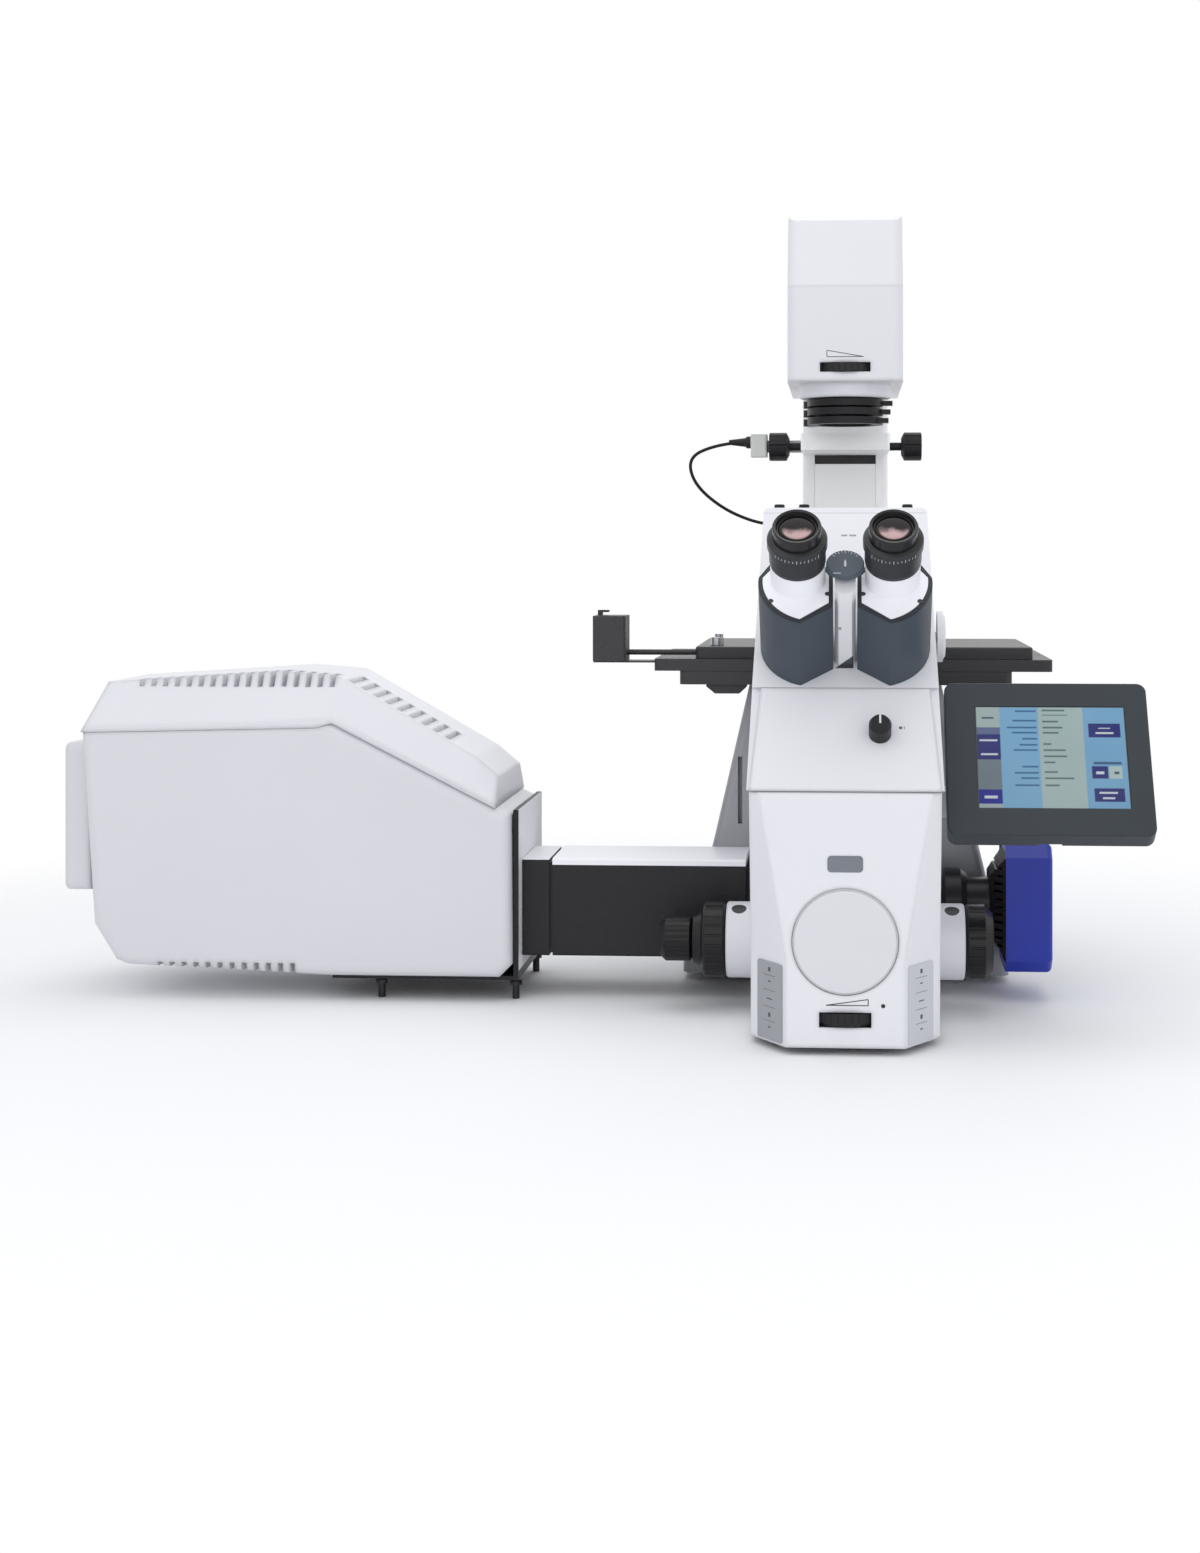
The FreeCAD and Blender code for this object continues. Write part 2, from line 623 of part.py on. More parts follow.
spine = new_body("head_spine", *EYE)
pad(spine, outline(spine, "XY", [
    ("-spine_half", "-swing_pin - 1"),
    ("-spine_half", "-spine_drop + 4"),
    ("-spine_half + 3", "-spine_drop"),
    ("spine_half - 3", "-spine_drop"),
    ("spine_half", "-spine_drop + 4"),
    ("spine_half", "-swing_pin - 1"),
], "-%s - 1" % seat_back), "%s - disc_back - disc_thick - 4" % seat_back)
swing_bore = new_body("swing_bore", *EYE)
pad(swing_bore, circles(swing_bore, "XY", "swing_pin + shaft_gap", offset="-%s - 40" % seat_back), "80")
piece(cut_from("tube_head", joined("head_blank", block, spine), swing_bore))


def hub_outline(body, side, inset, offset):
    """Section of an eye tube's housing: flat inner side, straight facet to the prow, then a round outer side."""
    points = [
        ("hub_inner + %s" % inset, "hub_inner * 0.8 - %s" % inset),
        ("hub_inner + %s" % inset, "-hub_inner_drop + %s" % inset),
        ("hub_prow", "-hub_drop + %s" % inset, "hub_drop * 0.95", 1),
        ("hub_outer - %s" % inset, "2"),
        ("hub_outer * 0.86 - %s" % inset, "hub_rise * 0.75 - %s" % inset),
        ("hub_prow * 1.25", "hub_rise - %s" % inset),
        ("hub_rise", "hub_rise - 2 - %s" % inset),
    ]
    if side < 0:
        points = [("-(%s)" % point[0], point[1]) + ((point[2], -1) if len(point) == 4 else ()) for point in points]
    return outline(body, "XY", points, offset)


for side, name in ((-1, "left"), (1, "right")):
    cover = new_body(name + "_tube_cover", *EYE)
    pad(cover, hub_outline(cover, side, "0", "-%s + running_gap" % seat_back),
        "%s - running_gap - flange_back" % seat_back)
    pocket(cover, hub_outline(cover, side, "cover_wall", "-%s" % seat_back), "%s" % seat_back)
    piece(cover)
    axis = "%d * swing_radius" % side
    tube = new_body(name + "_tube", *EYE)
    pad(tube, hub_outline(tube, side, "(cover_wall + running_gap)", "-flange_back - cover_wall"), "cover_wall")
    pad(tube, circles(tube, "XY", "tube_radius", [(axis, "0")], "-flange_back - 1"), "tube_stand + 1")
    pad(tube, circles(tube, "XY", "tube_bore + 3", [(axis, "0")], "-%s + running_gap" % seat_back),
        "%s - flange_back" % seat_back)
    pad(tube, hub_outline(tube, side, "(cover_wall + running_gap)", "-%s + running_gap" % seat_back), "cover_wall")
    pocket(tube, circles(tube, "XY", "tube_bore", [(axis, "0")], "-%s" % seat_back), "%s" % seat_back)
    piece(tube)
    eyepiece = new_body(name + "_eyepiece", axis, "-column_front", "eye_height", "eye_tilt")
    spin(eyepiece, outline(eyepiece, "XZ", [
        ("0", "-3"),
        ("eyecup_radius * 0.8", "-1"),
        ("eyecup_radius * 0.86", "2"),
        ("eyecup_radius - 0.8", "eyecup_lip"),
        ("eyecup_radius", "1.4"),
        ("eyecup_radius", "-9"),
        ("barrel_radius - 0.6", "-10.4"),
        ("barrel_radius", "-11.5"),
        ("barrel_radius", "-18"),
        ("barrel_radius - 1.4", "-19"),
        ("barrel_radius - 1.4", "-34"),
        ("tube_radius", "-flange_back + tube_stand + running_gap"),
        ("tube_bore - shaft_gap", "-flange_back + tube_stand + running_gap"),
        ("tube_bore - shaft_gap", "-flange_back - 4"),
        ("0", "-flange_back - 4"),
    ]))
    piece(eyepiece)

disc = new_body("pupil_disc", *EYE)
spin(disc, outline(disc, "XZ", [
    ("0", "-disc_back"),
    ("disc_radius - 1", "-disc_back"),
    ("disc_radius", "-disc_back - 1"),
    ("disc_radius", "-disc_back - disc_thick"),
    ("swing_pin", "-disc_back - disc_thick"),
    ("swing_pin", "-%s - 39" % seat_back),
    ("0", "-%s - 39" % seat_back),
]))
piece(disc)

side_wheel = new_body("side_wheel", "0", "-side_wheel_depth", "side_wheel_height")
wheel_face = "head_foot_half + 1"
spin(side_wheel, outline(side_wheel, "XY", [
    ("head_top_half - 9", "0"),
    ("%s + 7" % wheel_face, "0"),
    ("%s + 7" % wheel_face, "side_wheel_radius - 5"),
    ("%s + 5" % wheel_face, "side_wheel_radius - 2"),
    ("%s + 5" % wheel_face, "side_wheel_radius"),
    (wheel_face, "side_wheel_radius"),
    (wheel_face, "side_wheel_pin"),
    ("head_top_half - 9", "side_wheel_pin"),
]), "H_Axis")
piece(side_wheel)

# Scan head: a lower shell and an upper cover that leans back from the crease between them

sizes(
    ("scan_front", 200, "front of the scan head before the optical axis"),
    ("scan_deep", 180, "depth of the scan head"),
    ("scan_lean", 26, "how far the upper cover leans back"),
    ("scan_left", 678, "left side of the scan head"),
    ("scan_foot_left", 665, "left end of the base"),
    ("scan_right", 292, "right side of the scan head"),
    ("scan_low", 22, "underside of the scan head"),
    ("scan_crease", 235, "height of the crease under the upper cover"),
    ("scan_shoulder", 279, "height of the left shoulder"),
    ("scan_crest", 289, "height of the crest"),
    ("scan_crest_left", 500, "crest, from the optical axis"),
    ("scan_bend", 451, "where the top starts to slope down"),
    ("scan_bend_top", 285, "height of the top at the bend"),
    ("scan_nose", 300, "where the slope ends"),
    ("scan_nose_top", 196, "height at the end of the slope"),
    ("scan_nose_crease", 168, "height of the crease at the end of the slope"),
    ("scan_edge", 7, "rounding of the shells"),
    ("vent_pitch", 10.8, "pitch of the vents"),
    ("vent_count_top", 17, "vents along the top"),
    ("vent_count_low", 12, "vents along the underside"),
    ("vent_count_slope", 9, "vents down the slope"),
    ("vent_wide", 4.6, "width of a vent"),
    ("side_plate_low", 92, "lower edge of the side plate"),
    ("side_plate_high", 224, "upper edge of the side plate"),
    ("side_plate_thick", 24, "side plate's thickness"),
    ("bracket_plate", 4.5, "thickness of the black bracket"),
    ("bracket_left", 453, "left end of the bracket's foot"),
    ("bracket_top", 168, "top of the bracket"),
    ("leg_radius", 3.15, "pin feet of the scan head"),
    ("leg_left", 411, "left pair of pin feet"),
    ("coupling_low", 36, "underside of the coupling box"),
    ("coupling_high", 122, "top of the coupling box"),
    ("coupling_front", 165, "front of the coupling box"),
    ("coupling_deep", 90, "depth of the coupling box"),
    ("coupling_flange", 24, "width of the end flange"),
    ("coupling_groove", 3, "groove beside the flange"),
    ("coupling_skin", 5, "white top cover of the coupling"),
    ("skin_lip", 0.8, "how far the white top cover stands out from the coupling"),
)
lower = new_body("scanner_shell")
lower_back = "-scan_front + scan_deep"
pad(lower, outline(lower, "XZ", [
    ("-scan_left + 2", "scan_crease"),
    ("-scan_foot_left", "scan_low + 44"),
    ("-scan_foot_left + 20", "scan_low + 12"),
    ("-scan_foot_left + 30", "scan_low + 8"),
    ("-bracket_left", "scan_low"),
    ("-scan_right - 11", "scan_low"),
    ("-scan_right", "scan_low + 11"),
    ("-scan_right - 1", "scan_nose_crease - 4"),
    ("-scan_right - 14", "scan_nose_crease + 2"),
    ("-scan_bend", "scan_crease + 9"),
    ("-scan_bend - 14", "scan_crease + 5"),
], "-(%s)" % lower_back), "scan_deep")
soften(lower, "scan_edge", lambda middle, along: abs(along.y) < 0.1 and middle.z < value("scan_crease") - 60)
low_vent = pocket(lower, rectangle(lower, "XZ", "-scan_foot_left + 58", "-scan_foot_left + 58 + vent_wide",
                                   "scan_low - 4", "scan_low + 11", "scan_front - 14"), "15")
copies(lower, [low_vent], "LinearPattern", "X_Axis", int(value("vent_count_low")), Length="vent_pitch * (vent_count_low - 1)")
piece(lower)


def cover_outline(body, top, offset):
    """Front view of the upper cover: its crease below and its top line, lowered to a share of its height."""
    low = [("-scan_right - 14", "scan_nose_crease + 2 + running_gap"), ("-scan_bend", "scan_crease + 9 + running_gap"),
           ("-scan_bend - 14", "scan_crease + 5 + running_gap"), ("-scan_left + 2", "scan_crease + running_gap")]
    high = [("-scan_left + 1", "scan_crease + 8"), ("-scan_left + 19", "scan_shoulder"),
            ("-scan_crest_left", "scan_crest"), ("-scan_bend", "scan_bend_top"),
            ("-scan_nose - 26", "scan_nose_top + 17"), ("-scan_nose - 6", "scan_nose_top")]
    base = [("-scan_left + 2", "scan_crease"), ("-scan_left + 2", "scan_crease"),
            ("-scan_crest_left", "scan_crease + 5"), ("-scan_bend", "scan_crease + 9"),
            ("-scan_nose - 26", "scan_nose_crease + 10"), ("-scan_right - 14", "scan_nose_crease + 2")]
    share = [("(%s) * %s + (%s) * (1 - %s)" % (h[0], top, l[0], top), "(%s) * %s + (%s) * (1 - %s)" % (h[1], top, l[1], top))
             for h, l in zip(high, base)]
    return outline(body, "XZ", low + share, offset)


upper = new_body("scanner_cover")
loft(upper, cover_outline(upper, "0.12", "scan_front"), cover_outline(upper, "1", "scan_front - scan_lean"))
pad(upper, cover_outline(upper, "1", "-(%s) + scan_lean" % lower_back), "scan_deep - 2 * scan_lean")
loft(upper, cover_outline(upper, "1", "-(%s) + scan_lean" % lower_back), cover_outline(upper, "0.12", "-(%s)" % lower_back))
top_vent = pocket(upper, rectangle(upper, "XZ", "-scan_left + 48", "-scan_left + 48 + vent_wide", "scan_crest - 14",
                                   "scan_crest + 6", "scan_front - scan_lean - 22"), "30")
copies(upper, [top_vent], "LinearPattern", "X_Axis", int(value("vent_count_top")),
       Length="vent_pitch * (vent_count_top - 1)")
slope = "(scan_bend_top - scan_nose_top - 17) / (scan_bend - scan_nose - 26)"
for index in range(int(value("vent_count_slope"))):
    left = "-scan_bend + 8 + %d * vent_pitch" % index
    rise = "scan_bend_top - (%d * vent_pitch + 8) * %s" % (index, slope)
    pocket(upper, outline(upper, "XZ", [
        (left, rise + " - 9"), (left + " + vent_wide", rise + " - 9 - vent_wide * " + slope),
        (left + " + vent_wide", rise + " + 6"), (left, rise + " + 6"),
    ], "scan_front - scan_lean - 70"), "64")
piece(upper)

plate = new_body("side_plate_panel")
pad(plate, rectangle(plate, "YZ", "-scan_front + 24", "-scan_front + scan_deep - 24", "side_plate_low", "side_plate_high",
                     "-reach_left"), "side_plate_thick")
soften(plate, "scan_edge", along_x)
soften(plate, "scan_edge / 2", lambda middle, along: middle.x < -value("reach_left") + 0.01)
boss = new_body("side_plate_boss")
pad(boss, rectangle(boss, "YZ", "-scan_front + 44", "-scan_front + scan_deep - 44", "side_plate_low + 14",
                    "side_plate_high - 14", "-reach_left + side_plate_thick - 1"), "11")
piece(cut_from("scanner_side_plate", joined("side_plate_blank", plate, boss), lower))

bracket = new_body("scanner_bracket")
pad(bracket, rectangle(bracket, "XY", "-bracket_left", "-scan_right + running_gap + bracket_plate", "-scan_front + 12",
                       "-scan_front + scan_deep - 12", "scan_low - running_gap - bracket_plate + 1"), "bracket_plate - 1")
pad(bracket, rectangle(bracket, "YZ", "-scan_front + 12", "-scan_front + scan_deep - 12",
                       "scan_low - running_gap - bracket_plate + 1", "bracket_top", "-scan_right + running_gap"), "bracket_plate")
piece(bracket)

legs = []
for index, (across, depth) in enumerate((("-leg_left", "-scan_front + 24"), ("-scan_right + 1", "-scan_front + 24"),
                                         ("-leg_left", "-scan_front + scan_deep - 24"),
                                         ("-scan_right + 1", "-scan_front + scan_deep - 24"))):
    leg = new_body("leg_%d" % index, across, depth)
    spin(leg, outline(leg, "XZ", [
        ("0", "0"), ("leg_radius", "0"), ("leg_radius", "scan_low - running_gap - bracket_plate + 1"),
        ("0", "scan_low - running_gap - bracket_plate + 1"),
    ]))
    nut = circles(leg, "XY", "leg_radius * 1.7", offset="scan_low - bracket_plate - 5")
    pad(leg, nut, "3")
    legs.append(leg)
group("scanner_feet", *legs)

# Coupling box between the scan head and the stand's left port

box = new_body("coupling_body")
coupling_left = "-scan_right + 2 * running_gap + bracket_plate"


def coupling_pad(low, high, left, right, grow="0"):
    pad(box, rectangle(box, "YZ", "-coupling_front - (%s)" % grow, "-coupling_front + coupling_deep + (%s)" % grow,
                       "%s - (%s)" % (low, grow), "%s + (%s)" % (high, grow), left), "(%s) - (%s)" % (right, left))


coupling_pad("coupling_low", "coupling_high", coupling_left, coupling_left + " + coupling_flange")
coupling_pad("coupling_low", "coupling_high", coupling_left + " + coupling_flange - 1",
             coupling_left + " + coupling_flange + coupling_groove", "-2.5")
coupling_pad("coupling_low", "coupling_high - coupling_skin", coupling_left + " + coupling_flange + coupling_groove",
             "-column_half - 12")
pad(box, circles(box, "YZ", "30", [("-coupling_front + coupling_deep / 2", "(coupling_low + coupling_high) / 2")],
                 "-column_half - 13"), "13")
soften(box, "2", lambda middle, along: abs(along.x) > 0.99 and middle.z < value("coupling_low") + 1)
piece(box)
skin = new_body("coupling_cover")
pad(skin, rectangle(skin, "YZ", "-coupling_front - skin_lip", "-coupling_front + coupling_deep - running_gap",
                    "coupling_high - coupling_skin", "coupling_high + skin_lip",
                    coupling_left + " + coupling_flange + coupling_groove"),
    "-(%s) - coupling_flange - coupling_groove - column_half - 12" % coupling_left)
soften(skin, "2", lambda middle, along: abs(along.x) > 0.99 and middle.z > value("coupling_high"))
piece(skin)

# Camera on the right port

sizes(
    ("camera_height", 81, "axis of the right port"),
    ("camera_depth", 120, "right port before the optical axis"),
    ("camera_ring", 30, "radius of the port ring"),
    ("camera_neck", 22, "radius of the camera's neck"),
    ("camera_neck_start", 108, "inner end of the neck"),
    ("camera_neck_end", 128, "outer end of the neck"),
    ("camera_left", 141, "inner side of the blue shell"),
    ("camera_right", 182, "outer side of the blue shell"),
    ("camera_high", 113, "height of the blue shell"),
    ("camera_wide", 92, "depth of the blue shell"),
    ("camera_bevel", 11, "bevel of the blue shell's edges"),
    ("fin_gap", 2.2, "gap between the cooling fins"),
)
adapter = new_body("camera_adapter", "0", "-camera_depth", "camera_height")
spin(adapter, outline(adapter, "XY", [
    ("column_half", "8"),
    ("column_half", "camera_neck"),
    ("column_half + 11", "camera_neck"),
    ("column_half + 11", "camera_ring - 2"),
    ("column_half + 13", "camera_ring"),
    ("camera_neck_start - 5", "camera_ring"),
    ("camera_neck_start", "camera_ring - 4"),
    ("camera_neck_start", "camera_neck"),
    ("camera_neck_end", "camera_neck"),
    ("camera_neck_end", "8"),
]), "H_Axis")
piece(adapter)
sink = new_body("finned_cone", "0", "-camera_depth", "camera_height")
half_wide, half_high = "camera_wide / 2 - 6", "camera_high / 2 - 8"
loft(sink, rectangle(sink, "YZ", "-camera_neck", "camera_neck", "-camera_neck * 1.2", "camera_neck * 1.2", "camera_neck_end"),
     rectangle(sink, "YZ", "-(%s)" % half_wide, half_wide, "-(%s)" % half_high, half_high, "camera_left + 4"))
for index in range(-6, 7):
    pocket(sink, rectangle(sink, "YZ", "-camera_wide", "camera_wide", "%d * 3.1 * fin_gap - fin_gap / 2" % index,
                           "%d * 3.1 * fin_gap + fin_gap / 2" % index, "camera_neck_end + 4"),
           "camera_left - camera_neck_end - 6")
core = new_body("heatsink_core", "0", "-camera_depth", "camera_height")
pad(core, circles(core, "YZ", "camera_neck", offset="camera_neck_end"), "camera_left - camera_neck_end")
piece(joined("camera_heatsink", sink, core))
blue = new_body("camera_shell", "0", "-camera_depth", "camera_height")
pad(blue, rectangle(blue, "YZ", "-camera_wide / 2", "camera_wide / 2", "-camera_high / 2", "camera_high / 2",
                    "camera_left + 4 + running_gap"), "camera_right - camera_left - 4 - running_gap")
pad(blue, rectangle(blue, "YZ", "-camera_wide / 2", "camera_wide / 2", "-camera_high / 2", "camera_high / 2",
                    "camera_left"), "10")
pocket(blue, rectangle(blue, "YZ", "-(%s) - running_gap" % half_wide, half_wide + " + running_gap",
                       "-(%s) - running_gap" % half_high, half_high + " + running_gap", "camera_left - 1"), "5 + running_gap")
soften(blue, "camera_bevel", lambda middle, along: abs(along.x) > 0.99 and abs(middle.z) > value("camera_high / 2") - 1, "Chamfer")
soften(blue, "5", lambda middle, along: middle.x > value("camera_right") - 0.1 and abs(along.x) < 0.5)
piece(blue)

# Display: a tilted housing with its glass, held by a dock on the stand's right side

sizes(
    ("display_half", 83, "half width of the display"),
    ("display_long", 140.6, "display along its tilted front"),
    ("display_thick", 20, "thickness of the display"),
    ("display_tilt", 33.7, "display leaning back"),
    ("display_low", 169.5, "lower front edge of the display"),
    ("display_depth", 352, "lower front edge before the optical axis"),
    ("display_corner", 8, "corners of the display"),
    ("glass_half", 61, "half width of the glass"),
    ("glass_shift", 3, "glass to the right of the display's middle"),
    ("glass_low", 24, "lower edge of the glass along the front"),
    ("glass_high", 118, "upper edge of the glass along the front"),
    ("glass_thick", 1.5, "thickness of the glass"),
    ("dock_half", 34, "half width of the dock plate"),
    ("dock_low", 30, "lower edge of the dock plate along the display"),
    ("dock_high", 84, "upper edge of the dock plate along the display"),
    ("dock_thick", 6, "thickness of the dock plate"),
    ("dock_rail", 8, "half width of the dock's rail"),
)
display_middle = "reach_right - display_half"
TILTED = (display_middle, "-display_depth", "display_low", "-display_tilt")
housing = new_body("display_housing", *TILTED)
pad(housing, rectangle(housing, "XZ", "-display_half", "display_half", "0", "display_long", "-display_thick"),
    "display_thick")
soften(housing, "display_corner", along_y)
soften(housing, "2.5", lambda middle, along: abs(middle.y - value("display_thick")) < 0.1)
soften(housing, "1.2", lambda middle, along: abs(middle.y) < 0.01)
pocket(housing, rectangle(housing, "XZ", "glass_shift - glass_half - running_gap", "glass_shift + glass_half + running_gap",
                          "glass_low - running_gap", "glass_high + running_gap", "-glass_thick - 0.5"), "glass_thick + 1")
rail_room = "dock_rail + running_gap"
pocket(housing, outline(housing, "XY", [
    ("-(%s)" % rail_room, "display_thick + 1"),
    ("%s" % rail_room, "display_thick + 1"),
    ("%s + 3" % rail_room, "display_thick - 4 - running_gap"),
    ("-(%s) - 3" % rail_room, "display_thick - 4 - running_gap"),
], "-1"), "dock_high + 1 + running_gap")
piece(housing)
glass = new_body("display_glass", *TILTED)
pad(glass, rectangle(glass, "XZ", "glass_shift - glass_half", "glass_shift + glass_half", "glass_low", "glass_high",
                     "-glass_thick - 0.5"), "glass_thick")
piece(glass)
dock = new_body("dock_plate", *TILTED)
pad(dock, rectangle(dock, "XZ", "-dock_half", "dock_half", "dock_low", "dock_high",
                    "-display_thick - running_gap - dock_thick"), "dock_thick")
pad(dock, outline(dock, "XY", [
    ("-dock_rail", "display_thick + 1"),
    ("dock_rail", "display_thick + 1"),
    ("dock_rail + 2.6", "display_thick - 4"),
    ("-dock_rail - 2.6", "display_thick - 4"),
], "dock_low"), "dock_high - dock_low")
arm = new_body("dock_arm")
dock_depth = "(display_depth - display_thick - 62)"
pad(arm, rectangle(arm, "YZ", "-%s" % dock_depth, "-%s + 40" % dock_depth, "display_low + 4", "display_low + 26",
                   "column_half"), display_middle + " - column_half + dock_half / 2")
pad(arm, rectangle(arm, "YZ", "-%s - 44" % dock_depth, "-%s + 1" % dock_depth, "display_low + 4", "display_low + 26",
                   display_middle + " - dock_half / 2"), "dock_half")
trim = new_body("dock_trim", *TILTED)
pad(trim, rectangle(trim, "XZ", "-2 * display_half", "2 * display_half", "-display_long", "2 * display_long",
                    "-display_thick - running_gap - 1"), "4 * display_thick")
piece(joined("dock_bracket", dock, cut_from("dock_arm_trimmed", arm, trim)))

# Nosepiece and reflector turret in the well of the casting

sizes(
    ("nose_tilt", 15, "objective turret leaning back"),
    ("nose_radius", 30, "objectives from the turret's axis"),
    ("nose_height", 243, "middle of the turret's seat for the objectives"),
    ("turret_radius", 48, "objective turret"),
    ("turret_pin", 8, "radius of the turret's pin"),
    ("objective_length", 46, "objectives from their shoulder"),
    ("objective_radius", 13.5, "objective barrels"),
    ("objective_tip", 9, "objective front lenses"),
    ("thread_radius", 10, "objective threads"),
    ("thread_depth", 6, "length of the objective threads"),
    ("objective_count", 6, "objectives"),
    ("carrier_half", 27, "half width of the nosepiece carrier"),
    ("carrier_low", 180, "lower end of the carrier's slide"),
    ("carrier_high", 226, "upper end of the carrier's slide"),
    ("cube_radius", 38, "filter cubes from the reflector turret's axis"),
    ("cube_half", 13, "half width of a filter cube"),
    ("cube_height", 32, "height of a filter cube"),
    ("reflector_radius", 57, "reflector turret"),
    ("reflector_low", 124, "underside of the reflector turret"),
    ("reflector_thick", 8, "reflector turret's plate"),
    ("light_path", 11, "radius of the free light path"),
)
nose_depth = "nose_radius * cos(nose_tilt * 1 deg)"
NOSE = ("0", nose_depth, "nose_height", "-nose_tilt")
turret = new_body("objective_turret", *NOSE)
lean = "tan(nose_tilt * 1 deg)"
spin(turret, outline(turret, "XZ", [
    ("0", "nose_radius * " + lean),
    ("turret_radius", "(nose_radius - turret_radius) * " + lean),
    ("turret_radius", "-14"),
    ("turret_radius * 0.55", "-20"),
    ("turret_radius * 0.45", "-24"),
    ("turret_pin", "-24"),
    ("turret_pin", "-34"),
    ("0", "-34"),
]))
thread_hole = "thread_radius + thread_depth * " + lean + " + 2 * running_gap"
holes = pocket(turret, circles(turret, "XY", thread_hole, [("0", "-nose_radius")], "-26"), "40")
copies(turret, [holes], "PolarPattern", "Z_Axis", int(value("objective_count")))
piece(turret)

lenses = []
for index in range(int(value("objective_count"))):
    lens = new_body("objective_%d" % (index + 1))
    spin(lens, outline(lens, "XZ", [
        ("thread_radius - 3", "-thread_depth"),
        ("thread_radius", "-thread_depth"),
        ("thread_radius", "0"),
        ("objective_radius", "0"),
        ("objective_radius", "objective_length * 0.5"),
        ("objective_radius - 1", "objective_length * 0.52"),
        ("objective_radius - 1", "objective_length * 0.8"),
        ("objective_tip", "objective_length"),
        ("thread_radius - 6", "objective_length"),
    ]))
    around = Rotation(Vector(0, 0, 1), 360.0 * index / value("objective_count"))
    outward = Rotation(Vector(1, 0, 0), value("nose_tilt"))
    inside = Placement(around.multVec(Vector(0, -value("nose_radius"), 0)), around.multiply(outward))
    frame = Placement(Vector(value(SHIFT_X), value(SHIFT_Y + " + " + nose_depth), value("nose_height")),
                      Rotation(Vector(1, 0, 0), -value("nose_tilt")))
    lens.setExpression("Placement.Base.x", None)
    lens.setExpression("Placement.Base.y", None)
    lens.setExpression("Placement.Base.z", None)
    lens.Placement = frame.multiply(inside)
    lenses.append(lens)
group("objectives", *lenses)

seat_plate = new_body("turret_seat", *NOSE)
pad(seat_plate, circles(seat_plate, "XY", "carrier_half", offset="-38"), "14 - running_gap")
slide = new_body("carrier_slide")
pad(slide, rectangle(slide, "YZ", "well_rear - running_gap - 13", "well_rear - running_gap", "carrier_low", "carrier_high",
                     "-carrier_half"), "2 * carrier_half")
pad(slide, rectangle(slide, "YZ", "-light_path - 4", "well_rear - running_gap - 1", "carrier_low + 8",
                     "nose_height - 32", "-carrier_half"), "2 * carrier_half")
soften(slide, "4", lambda middle, along: abs(along.z) > 0.99 and middle.y < 0)
turret_bore = new_body("turret_bore", *NOSE)
pad(turret_bore, circles(turret_bore, "XY", "turret_pin + shaft_gap", offset="-40"), "30")
path = doc.addObject("Part::Cylinder", "light_path_bore")
bind(path, Radius="light_path", Height="nose_height")
seat(path, "0", "0", "carrier_low")
piece(cut_from("nosepiece_carrier", joined("carrier_blank", slide, seat_plate), turret_bore, path))

reflector = new_body("reflector_turret", "0", "cube_radius")
spin(reflector, outline(reflector, "XZ", [
    ("0", "well_floor + running_gap"),
    ("9", "well_floor + running_gap"),
    ("9", "reflector_low"),
    ("reflector_radius", "reflector_low"),
    ("reflector_radius", "reflector_low + reflector_thick"),
    ("0", "reflector_low + reflector_thick"),
]))
cube = pad(reflector, rectangle(reflector, "XY", "-cube_half", "cube_half", "-cube_radius - cube_half",
                                "-cube_radius + cube_half", "reflector_low + reflector_thick - 1"), "cube_height + 1")
cube_path = pocket(reflector, circles(reflector, "XY", "light_path - 2", [("0", "-cube_radius")], "reflector_low"),
                   "reflector_thick + cube_height")
copies(reflector, [cube, cube_path], "PolarPattern", "Z_Axis", 6)
piece(reflector)

# Stage: fixed frame, cross plate that moves along the depth, top plate that moves across on a lead screw

sizes(
    ("stage_front", 118, "front of the stage before the optical axis"),
    ("stage_rear", 100, "rear of the stage"),
    ("frame_half", 150, "half width of the stage frame"),
    ("frame_top", 287, "top of the stage frame"),
    ("cross_left", 173, "left end of the cross plate"),
    ("cross_right", 186, "right end of the cross plate"),
    ("cross_top", 298, "top of the cross plate"),
    ("plate_left", 136, "left end of the top plate"),
    ("plate_right", 169, "right end of the top plate"),
    ("plate_top", 309, "top of the stage"),
    ("window_across", 80, "half width of the stage opening"),
    ("window_deep", 55, "half depth of the stage opening"),
    ("insert_thick", 4, "thickness of the specimen insert"),
    ("insert_lip", 5, "lip that carries the insert"),
    ("specimen_radius", 18, "hole of the insert for a dish"),
    ("screw_depth", 100, "lead screw before the optical axis"),
    ("screw_radius", 2.5, "lead screw"),
    ("motor_left", 229, "outer side of the drive motor"),
    ("motor_right", 199, "inner side of the drive motor"),
    ("motor_low", 296, "underside of the drive motor"),
    ("motor_high", 337, "top of the drive motor"),
    ("motor_deep", 44, "depth of the drive motor"),
    ("step_low", 266.6, "underside of the drive housing at the frame's left"),
)
frame = new_body("stage_frame")
pad(frame, rectangle(frame, "XY", "-frame_half", "frame_half", "-stage_front", "stage_rear + 8", "stage_under"),
    "frame_top - stage_under")
soften(frame, "6", along_z)
pocket(frame, rectangle(frame, "XY", "-well_half", "well_half", "-well_front", "well_rear", "stage_under"),
       "frame_top - stage_under")
pad(frame, outline(frame, "XZ", [
    ("-wing_top_half - 38", "stage_under + 1"),
    ("-wing_top_half - 38", "stage_under - 2"),
    ("-wing_top_half - 30", "step_low"),
    ("-wing_top_half - 8", "step_low"),
    ("-wing_top_half - 2", "stage_under - 3"),
    ("-wing_top_half - 2", "stage_under + 1"),
], "stage_front - 40"), "36")
piece(frame)

